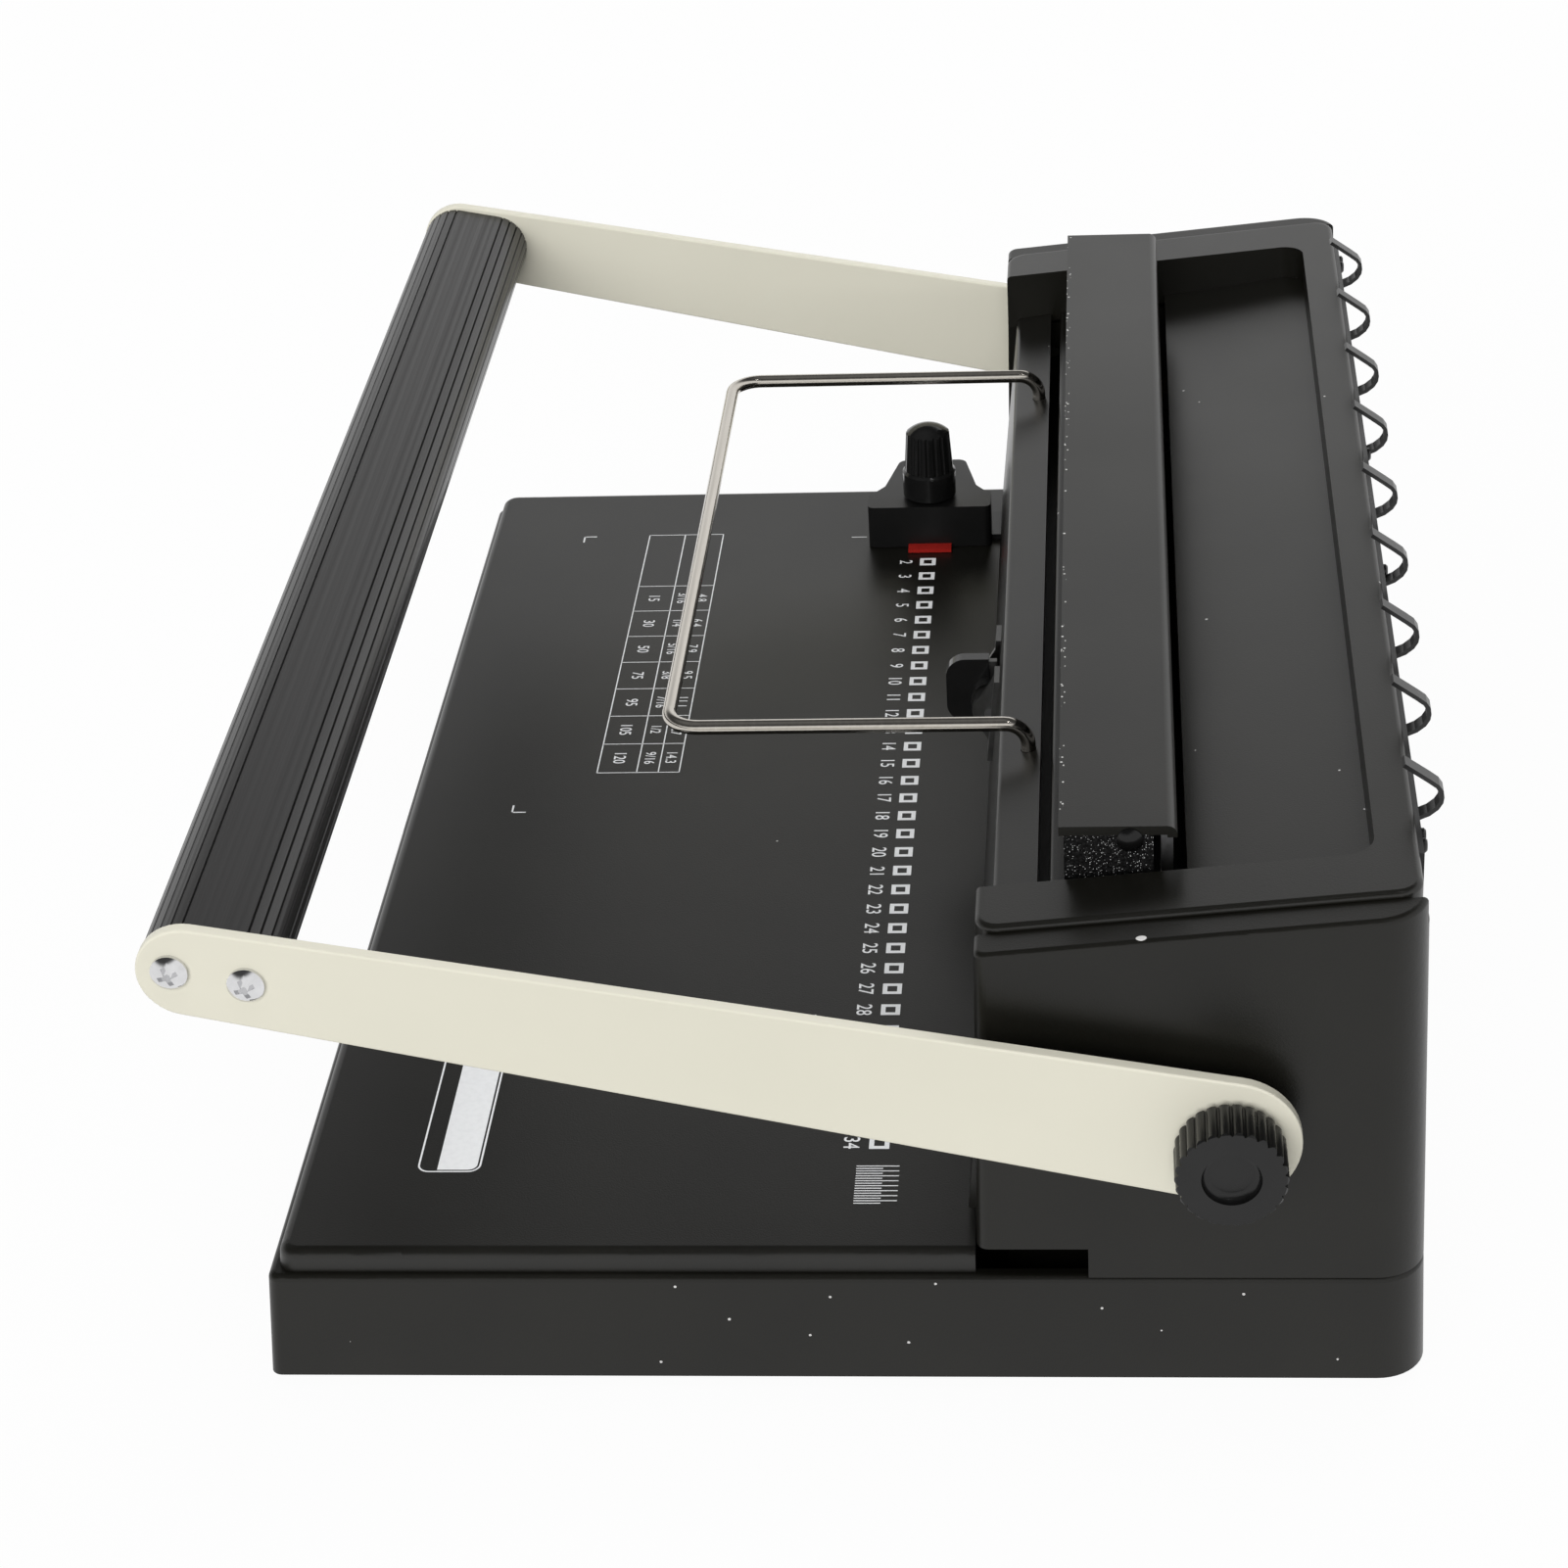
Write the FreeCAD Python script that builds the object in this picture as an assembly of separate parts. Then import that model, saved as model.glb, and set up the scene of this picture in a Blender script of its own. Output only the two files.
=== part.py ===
import FreeCAD, Part
import math
import os

# Manual punch and wire-closing machine for loose sheets, three holes to the inch.
# X runs to the right as the user stands, Y to the back, Z up from the floor.

os.makedirs("parts", exist_ok=True)
V = FreeCAD.Vector

# Hole pattern and punch set
HOLE_COUNT = 34
HOLE_PITCH = 25.4 / 3
PIN_SIZE = 3.9
PIN_FIT = 0.05
PUNCH_DEPTH = 3.5
DIE_END = 12.0
DIE_T = 6.0
DIE_DEPTH = 16.0
DIE_BEHIND_FRONT = 2.65
HOLE_FROM_DIE_FRONT = 5.5
EDGE_MARGIN = 4.5
THROAT_H = 2.4
STRIPPER_T = 9.6

# Base
FOOT_H = 3.0
FOOT_R = 9.0
FOOT_INSET_X = 26.0
FOOT_INSET_Y = 20.0
FRONT_Y = -115.0
BASE_D = 238.5
SIDE_MARGIN = 36.07
TRAY_H = 25.0
TRAY_WALL = 3.0
TRAY_FLOOR = 3.0
TRAY_EDGE_R = 1.4
FRONT_DRAFT = 2.0
SIDE_DRAFT = 0.6
BASE_FRONT_R = 2.5
BASE_REAR_R = 10.0
BED_RISE = 5.0
BED_SKIN = 2.5
BED_INSET = 1.8
BED_SKIRT = 3.0
BED_EDGE_R = 2.2
BED_CORNER_R = 4.0
RIB_T = 2.0
POST_R = 4.0
POST_FROM_SIDE = 11.0
POST_FRONT = 14.0
POST_MID = 78.0
POST_REAR = 128.0
POST_INNER_X = 60.0

# Tower
TOWER_FRONT = 147.85
TOWER_FRONT_SLOPE = 0.0165
PANEL_FOOT_OUT = 1.85
PANEL_SLOPE = 0.099
TOWER_REAR_SLOPE = 0.0155
TOWER_SIDE_SLOPE = 0.0147
TOWER_FRONT_R = 2.5
TOWER_H = 102.0
WALL = 2.5
SHEET = 1.5
CHEEK_RETURN = 13.4
CHEEK_NOTCH = 22.5
LID_FRONT_TOP = 105.7
TOP_SLOPE = 0.0928
LID_STEP = 1.3
CHEEK_EDGE_R = 1.1
LID_SKIRT = 6.0
LID_SIDE_GAP = 0.3
LID_INSET = 8.9
LID_CORNER_R = 5.0
LID_EDGE_R = 1.2
FLOOR_FRONT_DROP = 12.7
FLOOR_SLOPE = 0.15
REAR_WALL_IN = 1.1
RECESS_REAR_RIM = 8.4
RECESS_CORNER_R = 6.0
RECESS_SIDE_GAP = 2.2
PAN_BEHIND_COVER = 2.2
LEDGE_DEPTH = 9.0
LEDGE_DROP = 4.6

# Frames, shaft and gears
FRAME_T = 3.0
FRAME_FOOT = 12.0
FRAME_HOLE_R = 11.0
FRAME_HOLE_IN = 26.2
FRAME_HOLE_UP = 32.0
SHAFT_Y = 83.2
SHAFT_Z = 66.9
SHAFT_R = 5.0
SPIGOT_R = 4.0
SPIGOT_FLAT = 6.4
RUN_FIT = 0.05
SEAT_FIT = 0.01
LOOSE = 0.3
BUSH_R = 8.0
BUSH_FLANGE_R = 11.0
BUSH_FLANGE_T = 2.0
BUSH_OUT = 2.0
GEAR_MODULE = 1.0
GEAR_TEETH = 18
GEAR_ANGLE = 20.0
GEAR_THIN = 0.14
GEAR_W = 11.0
GEAR_FROM_FRAME = 5.4
GEAR_HUB_R = 7.0
RACK_W = 10.0
RACK_BACK = 2.4
RACK_BEHIND_ROOT = 2.35
RACK_FOOT = 20.9
RACK_HEAD = 9.1

# Press carriage
HANDLE_SWING = 75.0
BEAM_FRONT_GAP = 3.45
BEAM_D = 12.2
BEAM_H = 14.5
BEAM_ABOVE_STRIPPER = 13.0
PIN_HOLD = 8.0
ROD_R = 4.0
ROD_FROM_PATTERN = 5.5
ROD_BEHIND_PINS = 3.0
ROD_ABOVE_BEAM = 2.0
BRACKET_H = 10.0
BRACKET_UP = 2.0

# Closer
CLOSER_END = 9.0
COVER_T = 2.0
CLOSER_GAP = 7.5
COVER_BEHIND_HOLES = 9.5
COVER_OVER_RACK = 0.8
COVER_DROP = 2.6
COVER_BEND_R = 2.0
BLOCK_FRONT_GAP = 1.0
BLOCK_BEFORE_RACK = 1.5
BLOCK_H = 13.4
ANVIL_BEHIND_HOLES = 7.2
ANVIL_BEFORE_RACK = 2.4
ANVIL_H = 8.0
ANVIL_STEP = 3.4
END_SCREW_R = 2.6
END_SCREW_H = 1.6
END_SCREW_IN = 4.6
END_SCREW_DOWN = 1.0

# Handle
ARM_T = 3.0
ARM_GAP = 6.5
ARM_REACH = 205.0
ARM_REST_ANGLE = 11.5
ARM_FRONT_R = 9.8
ARM_PIVOT_R = 14.1
ARM_EDGE_R = 0.5
GRIP_LONG = 28.0
GRIP_THICK = 17.5
GRIP_WALL = 2.0
GRIP_BACK = 4.5
GRIP_LINES = 12
GRIP_GROOVE = 0.4
GRIP_GROOVE_W = 0.5
SCREW_SPACING = 15.0
SCREW_R = 1.75
SCREW_HEAD_R = 3.7
SCREW_HEAD_H = 2.5
SCREW_LENGTH = 15.0
PORT_R = 4.2
WASHER_R = 8.0
WASHER_T = 1.5
KNOB_R = 11.0
KNOB_L = 10.2
KNOB_RIBS = 26
KNOB_RIB_R = 1.15
KNOB_VALLEY = 0.75
KNOB_EDGE = 0.4
KNOB_DISH_R = 5.85
KNOB_DISH = 2.2
KNOB_DISH_ROUND = 1.5
KNOB_BACK_GAP = 0.2

# Paper support rod
ROD_D = 3.2
ROD_RIGHT_X = 80.1
ROD_LEFT_X = -101.8
ROD_FRONT_Y = 80.0
ROD_HOLE_IN = 6.4
ROD_IN_LEDGE = 4.0
ROD_SOCKET_WALL = 1.0
ROD_OVER_LEDGE = 6.2
ROD_CORNER_R = 7.0
ROD_BEND_R = 5.0
ROD_HOLE_FIT = 0.1

# Edge guide
GUIDE_FACE_X = -140.0
GUIDE_FRONT_Y = 110.0
GUIDE_W = 33.5
GUIDE_D = 10.0
GUIDE_H = 12.0
GUIDE_LIFT = 0.2
GUIDE_TAB = 20.0
GUIDE_TAB_T = 5.0
GUIDE_TAB_W0 = 25.0
GUIDE_TAB_W1 = 18.0
GUIDE_KNOB_BACK = 8.0
GUIDE_KNOB_H = 21.0
GUIDE_KNOB_TOP_R = 5.7
GUIDE_KNOB_FOOT_R = 6.6
GUIDE_COLLAR_R = 7.2
GUIDE_COLLAR_H = 8.0
GUIDE_KNOB_FLUTES = 18
GUIDE_SCREW_R = 2.0
GUIDE_TONGUE_T = 1.5
GUIDE_TONGUE_W = 14.0
POINTER_W = 11.7
POINTER_D = 3.6
POINTER_T = 1.0

# Margin lever
LEVER_Z = 62.8
LEVER_OUT = 1.15
LEVER_HUB_R = 4.5
LEVER_HUB_W = 12.0
LEVER_PLATE_T = 1.6
LEVER_PIN_R = 1.5
CAP_W = 10.2
CAP_GAP = 0.4
CAP_H = 16.6
CAP_T = 3.2
CAP_UP = 3.0
CAP_OUT = 6.6
CAP_WALL_R = 4.5
EAR_T = 1.2
EAR_GAP = 0.3
LEVER_PIN_OUT = 0.8

# Rear hooks
HOOK_COUNT = 9
HOOK_HOLES = 4
HOOK_W = 3.6
HOOK_T = 0.9
HOOK_REACH = 6.1
HOOK_RISE = 13.2
HOOK_FOOT_DOWN = 3.3
HOOK_OVER_LID = 1.8
HOOK_PLATE_T = 1.0
HOOK_PLATE_H = 10.0
HOOK_PLATE_END = 1.0
HOOK_SCREW_R = 1.5
HOOK_SCREW_DOWN = 1.9
HOOK_END_SCREW = 9.6
HOOK_SCREW_STEP = 3.8

# Waste drawer
DRAWER_FROM_FRAME = 9.93
DRAWER_FRONT = 128.0
DRAWER_WALL = 2.0
DRAWER_RUN = 0.4
DRAWER_H = 17.5
DRAWER_GAP = 0.5
GRIP_BAR_W = 70.0
GRIP_BAR_D = 6.0
GRIP_BAR_H = 5.0

# Levels and stations worked out from the sizes above
PATTERN_HALF = HOLE_COUNT * HOLE_PITCH / 2
DIE_HALF = PATTERN_HALF + DIE_END
BASE_HALF = PATTERN_HALF + SIDE_MARGIN
REAR_Y = FRONT_Y + BASE_D
TRAY_Z = FOOT_H + TRAY_H
BED_Z = TRAY_Z + BED_RISE
FLOOR_Z = FOOT_H + TRAY_FLOOR
STRIP_Z = BED_Z + THROAT_H
TOWER_Y = FRONT_Y + TOWER_FRONT
TOWER_REAR_Y = REAR_Y - SIDE_DRAFT
TOWER_HALF = BASE_HALF - SIDE_DRAFT
LID_Y0 = TOWER_Y + TOWER_FRONT_SLOPE * (LID_FRONT_TOP - TRAY_Z)
LID_HALF = TOWER_HALF - LID_INSET
CLOSER_HALF = PATTERN_HALF + CLOSER_END
RECESS_HALF = CLOSER_HALF + RECESS_SIDE_GAP
FRAME_X = DIE_HALF
DRAWER_HALF = FRAME_X - DRAWER_FROM_FRAME
DIE_Y0 = TOWER_Y + DIE_BEHIND_FRONT
HOLE_Y = DIE_Y0 + HOLE_FROM_DIE_FRONT
STOP_Y = HOLE_Y + EDGE_MARGIN
LIFT = GEAR_MODULE * GEAR_TEETH / 2 * math.radians(HANDLE_SWING)
PITCH_R = GEAR_MODULE * GEAR_TEETH / 2
GEAR_X1 = FRAME_X - GEAR_FROM_FRAME
RACK_X0 = GEAR_X1 - (GEAR_W + RACK_W) / 2
RACK_X1 = RACK_X0 + RACK_W
RACK_ROOT_Y = SHAFT_Y - PITCH_R - 1.25 * GEAR_MODULE
RACK_Y0 = RACK_ROOT_Y - RACK_BEHIND_ROOT
COVER_Y0 = HOLE_Y + COVER_BEHIND_HOLES
COVER_Y1 = RACK_Y0 + RACK_BACK + COVER_OVER_RACK
BLOCK_Y0 = COVER_Y0 + BLOCK_FRONT_GAP
BLOCK_Y1 = RACK_Y0 - BLOCK_BEFORE_RACK
ANVIL_Y0 = HOLE_Y + ANVIL_BEHIND_HOLES
ANVIL_Y1 = RACK_Y0 - ANVIL_BEFORE_RACK
ARM_X0 = TOWER_HALF - 0.9 + ARM_GAP
ARM_X1 = ARM_X0 + ARM_T
BEAM_Z0 = STRIP_Z + STRIPPER_T + BEAM_ABOVE_STRIPPER
ROD_Z0 = BED_Z - DIE_T
LEVER_PIN_HALF = LEVER_HUB_W / 2 + EAR_GAP + EAR_T + LEVER_PIN_OUT
TALL = 3 * TOWER_HALF


def front_y(z):
    return TOWER_Y + TOWER_FRONT_SLOPE * (z - TRAY_Z)


def rear_y(z):
    return TOWER_REAR_Y - TOWER_REAR_SLOPE * (z - TRAY_Z)


def panel_y(z):
    return TOWER_Y - PANEL_FOOT_OUT + PANEL_SLOPE * (z - STRIP_Z)


def lid_top(y):
    return LID_FRONT_TOP + TOP_SLOPE * (y - LID_Y0)


def cheek_top(y):
    return lid_top(y) - LID_STEP


def recess_floor(y):
    return LID_FRONT_TOP - FLOOR_FRONT_DROP + FLOOR_SLOPE * (y - LID_Y0)


REAR_WALL_Y = rear_y(LID_FRONT_TOP) - REAR_WALL_IN
PAN_Y1 = REAR_WALL_Y - RECESS_REAR_RIM
HOOK_PLATE_TOP = lid_top(REAR_WALL_Y) - LID_EDGE_R
PAN_Y0 = COVER_Y1 + PAN_BEHIND_COVER
LEDGE_Y0 = LID_Y0 + (panel_y(recess_floor(LID_Y0)) - LID_Y0) / (1 - PANEL_SLOPE * FLOOR_SLOPE)
ROD_HOLE_Y = LEDGE_Y0 + ROD_HOLE_IN
LEDGE_Z = recess_floor(ROD_HOLE_Y)
ANVIL_TOP = recess_floor(ANVIL_Y0)
COVER_UNDER = ANVIL_TOP + CLOSER_GAP + BLOCK_H
COVER_TOP = COVER_UNDER + COVER_T


def box(x0, x1, y0, y1, z0, z1):
    return Part.makeBox(x1 - x0, y1 - y0, z1 - z0, V(x0, y0, z0))


def slab(x0, x1, yz):
    """Closed outline in the YZ plane, carried from x0 to x1."""
    pts = [V(x0, y, z) for y, z in yz]
    face = Part.Face(Part.makePolygon(pts + [pts[0]]))
    return face.extrude(V(x1 - x0, 0, 0))


def plate(z0, z1, xy):
    """Closed outline in the XY plane, carried from z0 to z1."""
    pts = [V(x, y, z0) for x, y in xy]
    face = Part.Face(Part.makePolygon(pts + [pts[0]]))
    return face.extrude(V(0, 0, z1 - z0))


def rod_x(x0, x1, y, z, r):
    return Part.makeCylinder(r, x1 - x0, V(x0, y, z), V(1, 0, 0))


def rod_y(y0, y1, x, z, r):
    return Part.makeCylinder(r, y1 - y0, V(x, y0, z), V(0, 1, 0))


def rod_z(z0, z1, x, y, r):
    return Part.makeCylinder(r, z1 - z0, V(x, y, z0), V(0, 0, 1))


def mirror_x(shape):
    return shape.mirror(V(0, 0, 0), V(1, 0, 0))


def rounded_wire(half, y0, y1, z, rf, rr):
    """Rectangle of half width in X, with front corner radius rf and rear corner radius rr."""
    k = 1 - math.sqrt(0.5)
    arcs = [
        [(half - rf, y0), (half - k * rf, y0 + k * rf), (half, y0 + rf)],
        [(half, y1 - rr), (half - k * rr, y1 - k * rr), (half - rr, y1)],
        [(-half + rr, y1), (-half + k * rr, y1 - k * rr), (-half, y1 - rr)],
        [(-half, y0 + rf), (-half + k * rf, y0 + k * rf), (-half + rf, y0)],
    ]
    edges = []
    for i, arc in enumerate(arcs):
        a, b, c = [V(x, y, z) for x, y in arc]
        edges.append(Part.Arc(a, b, c).toShape())
        nxt = arcs[(i + 1) % 4][0]
        edges.append(Part.LineSegment(c, V(nxt[0], nxt[1], z)).toShape())
    return Part.Wire(edges)


def rounded_prism(half, y0, y1, z0, z1, rf, rr):
    wire = rounded_wire(half, y0, y1, z0, rf, rr)
    return Part.Face(wire).extrude(V(0, 0, z1 - z0))


def frustum(low, high):
    return Part.makeLoft([low, high], True, True)


def edges_at(shape, test):
    found = []
    for edge in shape.Edges:
        box_ = edge.BoundBox
        if test(box_):
            found.append(edge)
    return found


def strip(points, t):
    """Closed outline of a folded strip of thickness t on the left of an open path."""
    out = []
    for i, p in enumerate(points):
        before = points[max(i - 1, 0)]
        after = points[min(i + 1, len(points) - 1)]
        dirs = []
        for a, b in ((before, p), (p, after)):
            length = math.hypot(b[0] - a[0], b[1] - a[1])
            if length > 1e-9:
                dirs.append(((b[0] - a[0]) / length, (b[1] - a[1]) / length))
        n0 = (-dirs[0][1], dirs[0][0])
        n1 = (-dirs[-1][1], dirs[-1][0])
        share = 1 + n0[0] * n1[0] + n0[1] * n1[1]
        out.append((p[0] + t * (n0[0] + n1[0]) / share, p[1] + t * (n0[1] + n1[1]) / share))
    return points + out[::-1]


def above(plane, y0, y1):
    """Space over a sloping plane between two Y stations."""
    low = [(y0, plane(y0)), (y1, plane(y1))]
    return slab(-BASE_HALF - 9, BASE_HALF + 9, low + [(y1, TALL), (y0, TALL)])


def base_outline(z, inset):
    share = (z - FOOT_H) / TRAY_H
    half = BASE_HALF - SIDE_DRAFT * share - inset
    y0 = FRONT_Y + FRONT_DRAFT * share + inset
    y1 = REAR_Y - SIDE_DRAFT * share - inset
    front_r = max(BASE_FRONT_R - inset, 1.0)
    rear_r = max(BASE_REAR_R - inset, 1.0)
    return rounded_wire(half, y0, y1, z, front_r, rear_r)


def foot_places():
    places = []
    for sx in (-1, 1):
        for y in (FRONT_Y + FOOT_INSET_Y, REAR_Y - FOOT_INSET_Y):
            places.append((sx * (BASE_HALF - FOOT_INSET_X), y))
    return places


DRAWER_Z0 = FLOOR_Z + DRAWER_RUN
DRAWER_TOP = DRAWER_Z0 + DRAWER_H
DRAWER_Y0 = FRONT_Y + DRAWER_FRONT


def base_tray():
    outer = frustum(base_outline(FOOT_H, 0), base_outline(TRAY_Z, 0))
    rim = edges_at(outer, lambda b: abs(b.ZMin - TRAY_Z) < 0.01)
    outer = outer.makeFillet(TRAY_EDGE_R, rim)
    inner = frustum(base_outline(FLOOR_Z, TRAY_WALL), base_outline(TRAY_Z + 1, TRAY_WALL))
    tray = outer.cut(inner)
    gap = DRAWER_GAP
    doorway = box(
        -DRAWER_HALF - gap, DRAWER_HALF + gap, REAR_Y - 8, REAR_Y + 2, FLOOR_Z, DRAWER_TOP + gap
    )
    tray = tray.cut(doorway)
    posts = []
    for sx in (-1, 1):
        for back in (POST_FRONT, POST_MID, POST_REAR):
            posts.append(rod_z(FLOOR_Z, TRAY_Z, sx * (BASE_HALF - POST_FROM_SIDE), FRONT_Y + back, POST_R))
        posts.append(rod_z(FLOOR_Z, TRAY_Z, sx * POST_INNER_X, FRONT_Y + POST_FRONT, POST_R))
    for sx in (-1, 1):
        rail_x = sx * (DRAWER_HALF + DRAWER_GAP + 1.0)
        rail_y1 = REAR_Y - TRAY_WALL - 1
        posts.append(box(rail_x - 1, rail_x + 1, DRAWER_Y0, rail_y1, FLOOR_Z, FLOOR_Z + 9))
    tray = tray.fuse(posts)
    for x, y in foot_places():
        tray = tray.cut(rod_z(FOOT_H - 0.01, FOOT_H + 1.0, x, y, FOOT_R + LOOSE))
    return tray.removeSplitter()


def rubber_feet():
    feet = []
    for x, y in foot_places():
        foot = rod_z(0, FOOT_H + 1.0, x, y, FOOT_R)
        ring = edges_at(foot, lambda b: b.ZMax < 0.01)
        feet.append(foot.makeChamfer(0.6, ring))
    return Part.makeCompound(feet)


def bed_cover():
    y0 = FRONT_Y + FRONT_DRAFT + BED_INSET
    half = BASE_HALF - SIDE_DRAFT - BED_INSET
    back = DIE_Y0 - LOOSE
    low = rounded_wire(half, y0, back + 15, TRAY_Z, BED_CORNER_R, BED_CORNER_R)
    high = rounded_wire(half - 0.2, y0 + 0.6, back + 15, BED_Z, BED_CORNER_R, BED_CORNER_R)
    cover = frustum(low, high)
    cover = cover.makeFillet(BED_EDGE_R, edges_at(cover, lambda b: b.ZMin > BED_Z - 0.01))
    cover = cover.cut(box(-BASE_HALF, BASE_HALF, back, back + 20, TRAY_Z - 1, BED_Z + 1))
    beside = FRAME_X + FRAME_T + 1
    for x0 in (-BASE_HALF, beside):
        x1 = x0 + BASE_HALF - beside
        cover = cover.cut(box(x0, x1, TOWER_Y - LOOSE, back + 20, TRAY_Z - 1, BED_Z + 1))
    cols = 5
    rows = 3
    x_in = half - BED_SKIRT
    y_in0 = y0 + BED_SKIRT
    y_in1 = back - BED_SKIRT
    step_x = 2 * x_in / cols
    step_y = (y_in1 - y_in0) / rows
    for i in range(cols):
        for j in range(rows):
            px = -x_in + i * step_x
            py = y_in0 + j * step_y
            pocket = box(
                px + RIB_T / 2, px + step_x - RIB_T / 2,
                py + RIB_T / 2, py + step_y - RIB_T / 2,
                TRAY_Z - 1, BED_Z - BED_SKIN,
            )
            cover = cover.cut(pocket)
    return cover


def tower_envelope(inset):
    top = TRAY_Z + TOWER_H
    half_top = TOWER_HALF - TOWER_SIDE_SLOPE * TOWER_H - inset
    front_r = max(TOWER_FRONT_R - inset, 0.4)
    rear_r = max(BASE_REAR_R - inset, 1.0)
    low = rounded_wire(
        TOWER_HALF - inset, front_y(TRAY_Z) + inset, rear_y(TRAY_Z) - inset, TRAY_Z, front_r, rear_r
    )
    high = rounded_wire(half_top, front_y(top) + inset, rear_y(top) - inset, top, front_r, rear_r)
    return frustum(low, high)


def side_cheek():
    y0 = TOWER_Y - 5
    y1 = REAR_Y + 5
    x0 = TOWER_HALF - CHEEK_RETURN
    solid = tower_envelope(0).cut(above(cheek_top, y0, y1))
    solid = solid.common(box(x0, BASE_HALF + 5, y0, y1, TRAY_Z, TALL))
    rim = edges_at(
        solid,
        lambda b: b.ZMin > cheek_top(b.YMin) - 1.5 and b.XMax > LID_HALF + 2 and b.XMin > LID_HALF - 1,
    )
    solid = solid.makeFillet(CHEEK_EDGE_R, rim)
    hollow = tower_envelope(WALL).cut(above(lambda y: cheek_top(y) - WALL, y0, y1))
    cheek = solid.cut(hollow)
    seat_x = LID_HALF + LID_SIDE_GAP
    step_y = LID_Y0 + WALL + 0.6
    step_z = recess_floor(LID_Y0) - 3.0
    under = LID_SKIRT + 0.2
    seat = slab(
        x0 - 1, seat_x,
        [(y0, step_z), (step_y, step_z), (step_y, cheek_top(step_y) - under),
         (y1, cheek_top(y1) - under), (y1, TALL), (y0, TALL)],
    )
    cheek = cheek.cut(seat)
    notch = box(x0 - 1, BASE_HALF + 5, y0, TOWER_Y + CHEEK_NOTCH, TRAY_Z - 1, STRIP_Z - 0.4)
    cheek = cheek.cut(notch)
    cheek = cheek.cut(rod_x(TOWER_HALF - 8, BASE_HALF + 2, SHAFT_Y, SHAFT_Z, SHAFT_R + 2.5))
    return cheek


def top_lid():
    y1 = REAR_WALL_Y
    low_z = cheek_top(LID_Y0) - LID_SKIRT
    plan = rounded_prism(LID_HALF, LID_Y0, y1, STRIP_Z, TALL, LID_CORNER_R, LID_CORNER_R)
    far = LID_Y0 - 10
    rear = y1 + 10
    under = [(far, 0), (rear, 0), (rear, cheek_top(rear) - LID_SKIRT), (far, cheek_top(far) - LID_SKIRT)]
    body = plan.cut(above(lid_top, far, rear)).cut(slab(-BASE_HALF, BASE_HALF, under))
    top = edges_at(body, lambda b: b.ZMin > lid_top(b.YMin) - 0.3)
    body = body.makeFillet(LID_EDGE_R, top)
    inner = rounded_prism(
        LID_HALF - WALL, LID_Y0 + WALL, y1 - WALL, STRIP_Z, TALL, LID_CORNER_R - WALL, LID_CORNER_R - WALL
    )
    inner = inner.cut(above(lambda y: lid_top(y) - WALL, far, rear))
    rim = body.cut(inner)
    well_y1 = PAN_Y1 + WALL
    well = slab(
        -RECESS_HALF - WALL, RECESS_HALF + WALL,
        [(LID_Y0, recess_floor(LID_Y0) - 2), (well_y1, recess_floor(well_y1) - 2),
         (well_y1, lid_top(well_y1) - 1), (LID_Y0, lid_top(LID_Y0) - 1)],
    )
    skirt = box(
        -LID_HALF + 1, LID_HALF - 1, LID_Y0, LID_Y0 + WALL, recess_floor(LID_Y0) - 1.6, low_z + 1
    )
    lid = rim.fuse([well, skirt])
    cut = rounded_prism(RECESS_HALF, LID_Y0 - 20, PAN_Y1, STRIP_Z, TALL, 1.0, RECESS_CORNER_R)
    shallow = cut.common(above(recess_floor, LID_Y0 - 25, REAR_Y))
    lid = lid.cut(shallow)
    lid = lid.cut(box(-RECESS_HALF, RECESS_HALF, LID_Y0 - 5, PAN_Y0, STRIP_Z, TALL))
    flange = box(
        -RECESS_HALF, RECESS_HALF, PAN_Y0, PAN_Y0 + 1.8, recess_floor(PAN_Y0) - 7, recess_floor(PAN_Y0) - 1
    )
    lid = lid.fuse(flange)
    return lid.removeSplitter()


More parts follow.
